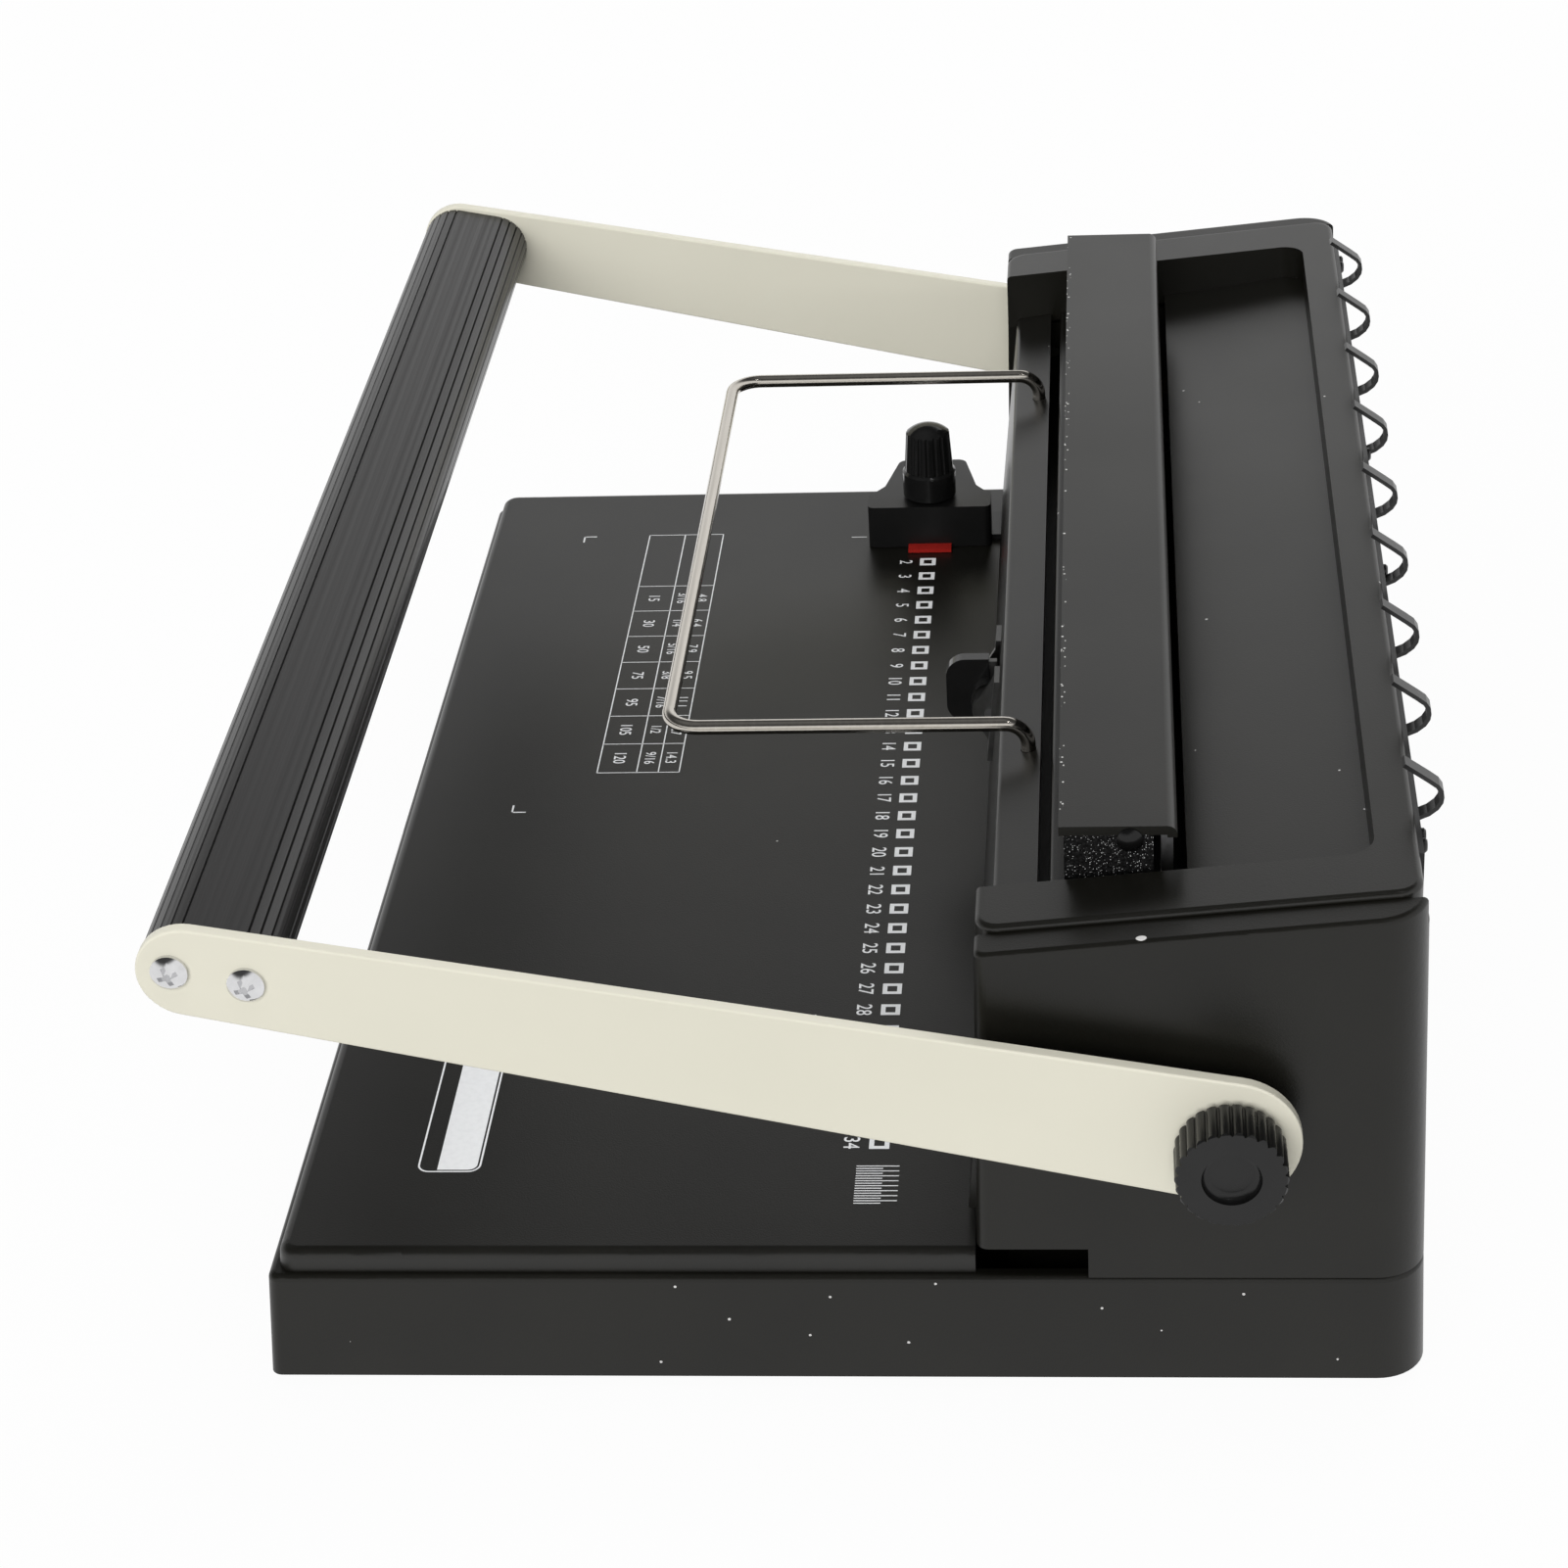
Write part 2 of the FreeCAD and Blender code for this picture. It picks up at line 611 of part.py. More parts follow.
def front_panel():
    """Sloping sheet folded back into the ledge at its top, and down again behind the ledge."""
    ledge_y1 = LEDGE_Y0 + LEDGE_DEPTH
    path = [
        (panel_y(STRIP_Z), STRIP_Z),
        (LEDGE_Y0, recess_floor(LEDGE_Y0)),
        (ledge_y1, recess_floor(ledge_y1)),
        (ledge_y1, recess_floor(ledge_y1) - LEDGE_DROP),
    ]
    half = TOWER_HALF - CHEEK_RETURN - LOOSE
    panel = slab(-half, half, strip(path, -SHEET))
    long_edges = edges_at(panel, lambda b: b.XLength > 100 and abs(b.YMin - LEDGE_Y0) < 0.01)
    fold = [edge for edge in long_edges if abs(edge.BoundBox.ZMin - recess_floor(LEDGE_Y0)) < 0.01]
    panel = panel.makeFillet(1.2, fold)
    for sx in (-1, 1):
        a = RECESS_HALF - LOOSE
        x0 = min(sx * a, sx * (half + 1))
        x1 = max(sx * a, sx * (half + 1))
        panel = panel.cut(box(x0, x1, LEDGE_Y0 - 5, ledge_y1 + 5, recess_floor(LID_Y0) - 1.8, TALL))
        panel = panel.cut(box(x0, x1, LEDGE_Y0 + SHEET + 0.2, ledge_y1 + 5, STRIP_Z, TALL))
    hole_r = ROD_D / 2 + ROD_HOLE_FIT
    socket_z = LEDGE_Z - ROD_IN_LEDGE
    for x in (ROD_LEFT_X, ROD_RIGHT_X):
        socket = rod_z(socket_z - 1.4, LEDGE_Z - 0.7, x, ROD_HOLE_Y, hole_r + ROD_SOCKET_WALL)
        panel = panel.fuse(socket).cut(rod_z(socket_z, LEDGE_Z + 8, x, ROD_HOLE_Y, hole_r))
    slot_half = CAP_T / 2 + 0.8
    panel = panel.cut(box(-slot_half, slot_half, TOWER_Y - 3, TOWER_Y + 8, LEVER_Z - 14, LEVER_Z + 18))
    hub_half = LEVER_PIN_HALF + LOOSE
    hub_r = LEVER_HUB_R + 0.8
    panel = panel.cut(box(-hub_half, hub_half, TOWER_Y - 3, TOWER_Y + 8, LEVER_Z - hub_r, LEVER_Z + hub_r))
    return panel


def rear_panel():
    """Sheet that leans in with the rear of the tower and passes behind the hook plate."""
    half = TOWER_HALF - CHEEK_RETURN - LOOSE
    top = cheek_top(REAR_WALL_Y) - LID_SKIRT - LOOSE
    foot_y = REAR_WALL_Y + TOWER_REAR_SLOPE * (HOOK_PLATE_TOP - HOOK_PLATE_H - TRAY_Z)
    top_y = foot_y - TOWER_REAR_SLOPE * (top - TRAY_Z)
    outline = [(foot_y - SHEET, TRAY_Z), (foot_y, TRAY_Z), (top_y, top), (top_y - SHEET, top)]
    return slab(-half, half, outline)


def side_frame():
    y0 = LEDGE_Y0 + SHEET + 0.4
    y1 = TOWER_REAR_Y - SHEET - 4
    top = [(y1, recess_floor(PAN_Y1 - 1) - 3.5), (y0, recess_floor(y0) - 3.0)]
    web = slab(FRAME_X, FRAME_X + FRAME_T, [(y0, FLOOR_Z), (y1, FLOOR_Z)] + top)
    foot = box(FRAME_X, FRAME_X + FRAME_FOOT, y0 + 20, y1, FLOOR_Z, FLOOR_Z + FRAME_T)
    frame = web.fuse(foot)
    frame = frame.cut(rod_x(FRAME_X - 1, FRAME_X + 9, SHAFT_Y, SHAFT_Z, BUSH_R + RUN_FIT))
    frame = frame.cut(box(FRAME_X - 1, FRAME_X + FRAME_T + 1, y0 - 1, STOP_Y, BED_Z, STRIP_Z))
    hole_z = FLOOR_Z + FRAME_HOLE_UP
    frame = frame.cut(rod_x(FRAME_X - 1, FRAME_X + 9, y1 - FRAME_HOLE_IN, hole_z, FRAME_HOLE_R))
    return frame.removeSplitter()


def bushing():
    x0 = FRAME_X - BUSH_FLANGE_T
    body = rod_x(x0, FRAME_X, SHAFT_Y, SHAFT_Z, BUSH_FLANGE_R)
    body = body.fuse(rod_x(FRAME_X, FRAME_X + FRAME_T + BUSH_OUT, SHAFT_Y, SHAFT_Z, BUSH_R))
    return body.cut(rod_x(x0 - 1, FRAME_X + 20, SHAFT_Y, SHAFT_Z, SHAFT_R + RUN_FIT))


def hole_xs():
    return [(i - (HOLE_COUNT - 1) / 2) * HOLE_PITCH for i in range(HOLE_COUNT)]


def punch_holes(z0, z1):
    half = PIN_SIZE / 2 + PIN_FIT
    return [box(x - half, x + half, HOLE_Y - half, HOLE_Y + half, z0, z1) for x in hole_xs()]


def rod_places():
    x = PATTERN_HALF + ROD_FROM_PATTERN
    return [(-x, HOLE_Y + ROD_BEHIND_PINS), (x, HOLE_Y + ROD_BEHIND_PINS)]


def tool_bar(z0, z1):
    """Flat bar of the punch set with its square holes and the two rod holes."""
    bar = box(-DIE_HALF, DIE_HALF, DIE_Y0, DIE_Y0 + DIE_DEPTH, z0, z1)
    cuts = punch_holes(z0 - 1, z1 + 1)
    for x, y in rod_places():
        cuts.append(rod_z(z0 - 1, z1 + 1, x, y, ROD_R + RUN_FIT))
    return bar.cut(Part.makeCompound(cuts))


def paper_stop():
    bar = box(-DIE_HALF, DIE_HALF, STOP_Y, DIE_Y0 + DIE_DEPTH, BED_Z, STRIP_Z)
    for x, y in rod_places():
        bar = bar.cut(rod_z(BED_Z - 1, STRIP_Z + 1, x, y, ROD_R + LOOSE))
    return bar


def guide_rods():
    top = BEAM_Z0 + BEAM_H + LIFT + ROD_ABOVE_BEAM
    return Part.makeCompound([rod_z(ROD_Z0, top, x, y, ROD_R) for x, y in rod_places()])


def punch_pins():
    half = PIN_SIZE / 2
    low = BED_Z - PUNCH_DEPTH
    high = BEAM_Z0 + PIN_HOLD
    return Part.makeCompound(
        [box(x - half, x + half, HOLE_Y - half, HOLE_Y + half, low, high) for x in hole_xs()]
    )


def punch_beam():
    y0 = TOWER_Y + SHEET + BEAM_FRONT_GAP
    half = DIE_HALF - 0.5
    beam = box(-half, half, y0, y0 + BEAM_D, BEAM_Z0, BEAM_Z0 + BEAM_H)
    groove = PIN_SIZE / 2 + PIN_FIT
    beam = beam.cut(
        box(-PATTERN_HALF, PATTERN_HALF, HOLE_Y - groove, HOLE_Y + groove, BEAM_Z0 - 1, BEAM_Z0 + PIN_HOLD)
    )
    for x, y in rod_places():
        beam = beam.cut(rod_z(BEAM_Z0 - 1, BEAM_Z0 + BEAM_H + 1, x, y, ROD_R + RUN_FIT))
    arms = []
    for sx in (-1, 1):
        x0 = min(sx * RACK_X0, sx * RACK_X1)
        z0 = BEAM_Z0 + BRACKET_UP
        arms.append(box(x0, x0 + RACK_W, y0 + BEAM_D, RACK_Y0, z0, z0 + BRACKET_H))
    return beam.fuse(arms).removeSplitter()


def lift_rack():
    """Upright with rack teeth on its rear face, in mesh at the height of the shaft."""
    m = GEAR_MODULE
    pitch = math.pi * m
    root = RACK_ROOT_Y
    tip = root + 2.25 * m
    front = RACK_Y0
    upright = RACK_Y0 + RACK_BACK
    top = COVER_TOP - COVER_DROP
    slope = math.tan(math.radians(GEAR_ANGLE))
    half = pitch / 4 - GEAR_THIN / 2
    z0 = SHAFT_Z - RACK_FOOT
    z1 = SHAFT_Z + RACK_HEAD
    outline = [(front, z0), (root, z0)]
    first = math.ceil((z0 - SHAFT_Z) / pitch)
    last = math.floor((z1 - SHAFT_Z) / pitch) - 1
    for k in range(first, last + 1):
        zc = SHAFT_Z + (k + 0.5) * pitch
        wide = half + 1.25 * m * slope
        narrow = half - m * slope
        outline += [(root, zc - wide), (tip, zc - narrow), (tip, zc + narrow), (root, zc + wide)]
    outline += [(root, z1), (upright, z1), (upright, top), (front, top)]
    return slab(RACK_X0, RACK_X1, outline)


def involute(base_r, r):
    a = math.acos(min(1.0, base_r / r))
    return math.tan(a) - a


def pinion():
    m = GEAR_MODULE
    n = GEAR_TEETH
    base_r = PITCH_R * math.cos(math.radians(GEAR_ANGLE))
    tip_r = PITCH_R + m
    root_r = PITCH_R - 1.25 * m
    half_pitch = (math.pi * m / 2 - GEAR_THIN) / (2 * PITCH_R) + involute(base_r, PITCH_R)
    radii = [root_r, base_r, PITCH_R - 0.2, PITCH_R + 0.4, tip_r]
    pts = []
    for k in range(n):
        mid = math.pi + 2 * math.pi * k / n
        for r in radii:
            ang = mid - half_pitch + involute(base_r, max(r, base_r))
            pts.append((SHAFT_Y + r * math.cos(ang), SHAFT_Z + r * math.sin(ang)))
        for r in radii[::-1]:
            ang = mid + half_pitch - involute(base_r, max(r, base_r))
            pts.append((SHAFT_Y + r * math.cos(ang), SHAFT_Z + r * math.sin(ang)))
    gear = slab(GEAR_X1 - GEAR_W, GEAR_X1, pts)
    hub = rod_x(GEAR_X1, FRAME_X - BUSH_FLANGE_T - 0.2, SHAFT_Y, SHAFT_Z, GEAR_HUB_R)
    gear = gear.fuse(hub)
    return gear.cut(rod_x(GEAR_X1 - GEAR_W - 1, FRAME_X, SHAFT_Y, SHAFT_Z, SHAFT_R + SEAT_FIT))


def cross_shaft():
    end = ARM_X0
    shaft = rod_x(-end, end, SHAFT_Y, SHAFT_Z, SHAFT_R)
    tip = ARM_X1 + WASHER_T + KNOB_BACK_GAP + KNOB_L - KNOB_DISH - 1.6
    for sx in (-1, 1):
        x0 = min(sx * end, sx * tip)
        spigot = rod_x(x0, x0 + tip - end, SHAFT_Y, SHAFT_Z, SPIGOT_R)
        fx0 = min(sx * end, sx * ARM_X1)
        flats = box(fx0, fx0 + ARM_T, SHAFT_Y - 9, SHAFT_Y + 9, SHAFT_Z + SPIGOT_FLAT / 2, SHAFT_Z + 9)
        spigot = spigot.cut(flats)
        flats = box(fx0, fx0 + ARM_T, SHAFT_Y - 9, SHAFT_Y + 9, SHAFT_Z - 9, SHAFT_Z - SPIGOT_FLAT / 2)
        spigot = spigot.cut(flats)
        shaft = shaft.fuse(spigot)
    return shaft


def arm_axis(s, side=0.0):
    """Point at distance s from the pivot along the arm, side above its centre line."""
    a = math.radians(ARM_REST_ANGLE)
    return (SHAFT_Y - s * math.cos(a) + side * math.sin(a), SHAFT_Z + s * math.sin(a) + side * math.cos(a))


def screw_stations():
    mid = ARM_REACH - GRIP_BACK
    return [mid - SCREW_SPACING / 2, mid + SCREW_SPACING / 2]


def arm():
    """Tapered flat bar with round ends, drawn through the tangent points of its two end circles."""
    s = ARM_REACH
    lean = math.asin((ARM_PIVOT_R - ARM_FRONT_R) / s)
    a = math.radians(ARM_REST_ANGLE)

    def point(centre_s, r, ang):
        y, z = arm_axis(centre_s)
        local_s = r * math.cos(ang)
        local_n = r * math.sin(ang)
        return V(
            ARM_X0,
            y - local_s * math.cos(a) + local_n * math.sin(a),
            z + local_s * math.sin(a) + local_n * math.cos(a),
        )

    up = math.pi / 2 - lean
    p_up = point(0, ARM_PIVOT_R, up)
    p_back = point(0, ARM_PIVOT_R, math.pi)
    p_down = point(0, ARM_PIVOT_R, -up)
    f_up = point(s, ARM_FRONT_R, up)
    f_front = point(s, ARM_FRONT_R, 0)
    f_down = point(s, ARM_FRONT_R, -up)
    edges = [
        Part.Arc(p_up, p_back, p_down).toShape(),
        Part.LineSegment(p_down, f_down).toShape(),
        Part.Arc(f_down, f_front, f_up).toShape(),
        Part.LineSegment(f_up, p_up).toShape(),
    ]
    bar = Part.Face(Part.Wire(edges)).extrude(V(ARM_T, 0, 0))
    bar = bar.makeFillet(ARM_EDGE_R, edges_at(bar, lambda b: b.XLength < 0.01))
    hole = rod_x(ARM_X0 - 1, ARM_X1 + 1, SHAFT_Y, SHAFT_Z, SPIGOT_R + RUN_FIT)
    keep = SPIGOT_FLAT / 2 + RUN_FIT
    hole = hole.common(box(ARM_X0 - 1, ARM_X1 + 1, SHAFT_Y - 9, SHAFT_Y + 9, SHAFT_Z - keep, SHAFT_Z + keep))
    bar = bar.cut(hole)
    for station in screw_stations():
        y, z = arm_axis(station)
        bar = bar.cut(rod_x(ARM_X0 - 1, ARM_X1 + 1, y, z, SCREW_R + LOOSE))
    return bar


def arm_screw(station):
    """Pan head screw with a cross recess, its head on the outer face of the arm."""
    y, z = arm_axis(station)
    r = SCREW_HEAD_R
    h = SCREW_HEAD_H
    dome = Part.makeSphere(r * 1.35, V(ARM_X1 + h - r * 1.35, y, z))
    head = rod_x(ARM_X1, ARM_X1 + h, y, z, r).common(dome)
    for turn in (0, 90):
        bar = box(ARM_X1 + h - 1.3, ARM_X1 + h + 1, y - 2.1, y + 2.1, z - 0.5, z + 0.5)
        bar.rotate(V(0, y, z), V(1, 0, 0), turn + 20)
        head = head.cut(bar)
    return head.fuse(rod_x(ARM_X1 - SCREW_LENGTH, ARM_X1, y, z, SCREW_R))


def handle_grip():
    """Hollow oval extrusion with fine grooves round both narrow sides and a port for each screw."""
    r = GRIP_THICK / 2
    flat = (GRIP_LONG - GRIP_THICK) / 2
    mid = ARM_REACH - GRIP_BACK

    def ring(radius, groove):
        turns = []
        step = math.pi / GRIP_LINES
        lip = GRIP_GROOVE_W / 2 / radius
        for k in range(GRIP_LINES + 1):
            ang = -math.pi / 2 + step * k
            turns.append((ang, radius))
            if groove and k < GRIP_LINES:
                bottom = ang + step / 2
                turns += [(bottom - lip, radius), (bottom, radius - groove), (bottom + lip, radius)]
        pts = []
        for side in (1, -1):
            for ang, rr in turns:
                s = side * (flat + rr * math.cos(ang))
                n = side * rr * math.sin(ang)
                pts.append(arm_axis(mid + s, n))
        return pts

    bar = slab(-ARM_X0, ARM_X0, ring(r, GRIP_GROOVE))
    hollow = slab(-ARM_X0 - 1, ARM_X0 + 1, ring(r - GRIP_WALL - GRIP_GROOVE, 0))
    bar = bar.cut(hollow)
    ports = []
    for station in screw_stations():
        y, z = arm_axis(station)
        boss = rod_x(-ARM_X0, ARM_X0, y, z, PORT_R)
        web = slab(
            -ARM_X0, ARM_X0,
            [arm_axis(station - 0.9, -r + GRIP_WALL), arm_axis(station + 0.9, -r + GRIP_WALL),
             arm_axis(station + 0.9, r - GRIP_WALL), arm_axis(station - 0.9, r - GRIP_WALL)],
        )
        ports.append(boss.fuse(web))
    bar = bar.fuse(ports)
    for station in screw_stations():
        y, z = arm_axis(station)
        bar = bar.cut(rod_x(-ARM_X0 - 1, ARM_X0 + 1, y, z, SCREW_R + RUN_FIT))
    return bar.removeSplitter()


def pivot_washer():
    ring = rod_x(ARM_X1, ARM_X1 + WASHER_T, SHAFT_Y, SHAFT_Z, WASHER_R)
    return ring.cut(rod_x(ARM_X1 - 1, ARM_X1 + 9, SHAFT_Y, SHAFT_Z, SPIGOT_R + LOOSE))


def pivot_knob():
    """Round core with half round ribs all the way round, and a plain dish in its outer face."""
    x0 = ARM_X1 + WASHER_T + KNOB_BACK_GAP
    x1 = x0 + KNOB_L
    ribs = []
    for k in range(KNOB_RIBS):
        ang = 2 * math.pi * k / KNOB_RIBS
        y = SHAFT_Y + (KNOB_R - KNOB_RIB_R) * math.cos(ang)
        z = SHAFT_Z + (KNOB_R - KNOB_RIB_R) * math.sin(ang)
        ribs.append(rod_x(x0, x1, y, z, KNOB_RIB_R))
    body = rod_x(x0, x1, SHAFT_Y, SHAFT_Z, KNOB_R - KNOB_VALLEY).fuse(ribs)
    outer = rod_x(x0, x1, SHAFT_Y, SHAFT_Z, KNOB_R + 0.5)
    outer = outer.makeChamfer(KNOB_EDGE + 0.5, edges_at(outer, lambda b: b.XLength < 0.01))
    body = body.common(outer)
    dish = rod_x(x1 - KNOB_DISH, x1 + 1, SHAFT_Y, SHAFT_Z, KNOB_DISH_R)
    dish = dish.makeFillet(KNOB_DISH_ROUND, edges_at(dish, lambda b: b.XMax < x1 - KNOB_DISH + 0.01))
    body = body.cut(dish)
    return body.cut(rod_x(x0 - 1, x1 - KNOB_DISH - 1.4, SHAFT_Y, SHAFT_Z, SPIGOT_R + RUN_FIT))


def closer_cover():
    y0 = COVER_Y0
    y1 = COVER_Y1
    outline = strip([(y1, COVER_TOP - COVER_DROP), (y1, COVER_TOP), (y0, COVER_TOP)], COVER_T)
    cover = slab(-CLOSER_HALF, CLOSER_HALF, outline)
    outer = edges_at(
        cover, lambda b: b.XLength > 100 and abs(b.YMin - y1) < 0.01 and abs(b.ZMin - COVER_TOP) < 0.01
    )
    cover = cover.makeFillet(COVER_BEND_R, outer)
    return cover


def closer_block():
    half = CLOSER_HALF
    z0 = COVER_UNDER - BLOCK_H
    block = box(-half, half, BLOCK_Y0, BLOCK_Y1, z0, COVER_UNDER)
    front = edges_at(block, lambda b: b.XLength > 100 and b.ZMax < z0 + 0.01)
    return block.makeChamfer(1.0, front)


def closer_anvil():
    y0 = ANVIL_Y0
    z1 = ANVIL_TOP
    bar = box(-DIE_HALF, DIE_HALF, y0, ANVIL_Y1, z1 - ANVIL_H, z1)
    top = edges_at(bar, lambda b: b.XLength > 100 and b.ZMin > z1 - 0.01 and b.YMax < y0 + 0.01)
    bar = bar.makeFillet(0.8, top)
    for sx in (-1, 1):
        x0 = min(sx * (RECESS_HALF - LOOSE), sx * (DIE_HALF + 1))
        x1 = max(sx * (RECESS_HALF - LOOSE), sx * (DIE_HALF + 1))
        low = z1 - ANVIL_STEP
        bar = bar.cut(box(x0, x1, y0 - 1, ANVIL_Y1 + 1, low, z1 + 1))
    return bar


def closer_end_screw():
    """Domed head on the end of the closer, over the joint of the cover and the block."""
    x0 = CLOSER_HALF
    y = BLOCK_Y1 - END_SCREW_IN
    z = COVER_UNDER - END_SCREW_DOWN
    dome_r = END_SCREW_R * 1.35
    dome = Part.makeSphere(dome_r, V(x0 + END_SCREW_H - dome_r, y, z))
    return rod_x(x0, x0 + END_SCREW_H, y, z, END_SCREW_R).common(dome)


def path_pipe(points, bends, r):
    """Round bar along a path of straight runs, with a bend radius at each inner corner."""
    edges = []
    start = points[0]
    for i in range(1, len(points) - 1):
        corner = points[i]
        back = (points[i - 1] - corner).normalize()
        ahead = (points[i + 1] - corner).normalize()
        bend = bends[i - 1]
        a = corner + back * bend
        c = corner + ahead * bend
        centre = corner + back * bend + ahead * bend
        b = centre + (corner - centre).normalize() * bend
        edges.append(Part.LineSegment(start, a).toShape())
        edges.append(Part.Arc(a, b, c).toShape())
        start = c
    edges.append(Part.LineSegment(start, points[-1]).toShape())
    spine = Part.Wire(edges)
    tangent = (points[1] - points[0]).normalize()
    ring = Part.Wire(Part.makeCircle(r, points[0], tangent))
    return spine.makePipeShell([ring], True, True, 2)


def paper_support():
    z = LEDGE_Z + ROD_OVER_LEDGE
    y_front = FRONT_Y + ROD_FRONT_Y
    y_hole = ROD_HOLE_Y
    z_low = LEDGE_Z - ROD_IN_LEDGE
    points = [
        V(ROD_LEFT_X, y_hole, z_low), V(ROD_LEFT_X, y_hole, z), V(ROD_LEFT_X, y_front, z),
        V(ROD_RIGHT_X, y_front, z), V(ROD_RIGHT_X, y_hole, z), V(ROD_RIGHT_X, y_hole, z_low),
    ]
    return path_pipe(points, [ROD_BEND_R, ROD_CORNER_R, ROD_CORNER_R, ROD_BEND_R], ROD_D / 2)


GUIDE_Y0 = FRONT_Y + GUIDE_FRONT_Y
GUIDE_Y1 = GUIDE_Y0 + GUIDE_W
GUIDE_Z0 = BED_Z + GUIDE_LIFT
GUIDE_Z1 = GUIDE_Z0 + GUIDE_H
GUIDE_KNOB_X = GUIDE_FACE_X - GUIDE_KNOB_BACK
GUIDE_KNOB_Y = (GUIDE_Y0 + GUIDE_Y1) / 2


def guide_block():
    x1 = GUIDE_FACE_X
    x0 = x1 - GUIDE_D
    mid = (GUIDE_Y0 + GUIDE_Y1) / 2
    body = box(x0, x1, GUIDE_Y0, GUIDE_Y1, GUIDE_Z0, GUIDE_Z1)
    body = body.makeFillet(1.8, edges_at(body, lambda b: b.ZLength > 5))
    boss = rod_z(GUIDE_Z0, GUIDE_Z1, GUIDE_KNOB_X, mid, GUIDE_COLLAR_R)
    flare = [
        (x0 + 4, GUIDE_Y0 + 1.8), (x0, GUIDE_Y0 + 1.8), (x0 - 3.5, mid - GUIDE_TAB_W0 / 2),
        (x0 - GUIDE_TAB, mid - GUIDE_TAB_W1 / 2), (x0 - GUIDE_TAB, mid + GUIDE_TAB_W1 / 2),
        (x0 - 3.5, mid + GUIDE_TAB_W0 / 2), (x0, GUIDE_Y1 - 1.8), (x0 + 4, GUIDE_Y1 - 1.8),
    ]
    tab = plate(GUIDE_Z1 - GUIDE_TAB_T, GUIDE_Z1, flare)
    tab = tab.makeFillet(2.5, edges_at(tab, lambda b: b.ZLength > 2 and b.XMax < x0 - GUIDE_TAB + 0.1))
    body = body.fuse([boss, tab])
    body = body.cut(rod_z(GUIDE_Z0 - 1, GUIDE_Z1 + 1, GUIDE_KNOB_X, mid, GUIDE_SCREW_R + RUN_FIT))
    body = body.cut(rod_z(GUIDE_Z0 - 1, GUIDE_Z0 + 1.4, GUIDE_KNOB_X, mid, 3.6 + LOOSE))
    return body.removeSplitter()


def guide_tongue():
    """Flat tongue from the block into the front of the paper throat."""
    x1 = GUIDE_FACE_X - 4
    y0 = GUIDE_Y1
    y1 = HOLE_Y - PIN_SIZE / 2 - 0.8
    return box(x1 - GUIDE_TONGUE_W, x1, y0, y1, GUIDE_Z0, GUIDE_Z0 + GUIDE_TONGUE_T)


def guide_pointer():
    mid = (GUIDE_Y0 + GUIDE_Y1) / 2
    x0 = GUIDE_FACE_X
    bar = box(x0, x0 + POINTER_D, mid - POINTER_W / 2, mid + POINTER_W / 2, GUIDE_Z0, GUIDE_Z0 + POINTER_T)
    return bar


def guide_knob():
    """Tapered fluted knob with a collar, on its own screw that ends in a pressure pad."""
    x = GUIDE_KNOB_X
    y = GUIDE_KNOB_Y
    z0 = GUIDE_Z1 + 0.1
    z1 = z0 + GUIDE_KNOB_H
    zc = z0 + GUIDE_COLLAR_H
    collar = rod_z(z0, zc, x, y, GUIDE_COLLAR_R)
    collar = collar.makeChamfer(0.7, edges_at(collar, lambda b: b.ZLength < 0.01))
    stem = Part.makeCone(GUIDE_KNOB_FOOT_R, GUIDE_KNOB_TOP_R, z1 - zc, V(x, y, zc), V(0, 0, 1))
    cuts = []
    for k in range(GUIDE_KNOB_FLUTES):
        ang = 2 * math.pi * k / GUIDE_KNOB_FLUTES
        out = V(math.cos(ang), math.sin(ang), 0)
        foot = V(x, y, zc) + out * (GUIDE_KNOB_FOOT_R + 0.28)
        head = V(x, y, z1 + 1) + out * (GUIDE_KNOB_TOP_R + 0.28)
        run = head - foot
        cuts.append(Part.makeCylinder(0.7, run.Length, foot, run))
    stem = stem.cut(Part.makeCompound(cuts))
    crown_r = GUIDE_KNOB_TOP_R * 1.5
    crown = Part.makeSphere(crown_r, V(x, y, z1 - crown_r))
    stem = stem.common(crown.fuse(rod_z(zc, z1 - crown_r * 0.5, x, y, GUIDE_COLLAR_R)))
    knob = collar.fuse(stem)
    screw = rod_z(BED_Z + 1.0, z0 + 1.0, x, y, GUIDE_SCREW_R)
    pad = rod_z(BED_Z, BED_Z + 1.0, x, y, 3.6)
    return knob.fuse([screw, pad])


LEVER_Y = panel_y(LEVER_Z) - LEVER_OUT


def lever_hub():
    """Steel selector plate with its hub on the pivot pin."""
    hub = rod_x(-LEVER_HUB_W / 2, LEVER_HUB_W / 2, LEVER_Y, LEVER_Z, LEVER_HUB_R)
    t = LEVER_PLATE_T / 2
    z_top = LEVER_Z + CAP_UP + CAP_H / 2 - 1.0
    blade = slab(-t, t, [
        (LEVER_Y - 2.6, LEVER_Z), (LEVER_Y + 1.5, LEVER_Z), (LEVER_Y + 1.5, z_top),
        (LEVER_Y - CAP_OUT, z_top), (LEVER_Y - CAP_OUT, LEVER_Z + CAP_UP - 3),
    ])
    lever = hub.fuse(blade)
    return lever.cut(rod_x(-20, 20, LEVER_Y, LEVER_Z, LEVER_PIN_R + RUN_FIT))


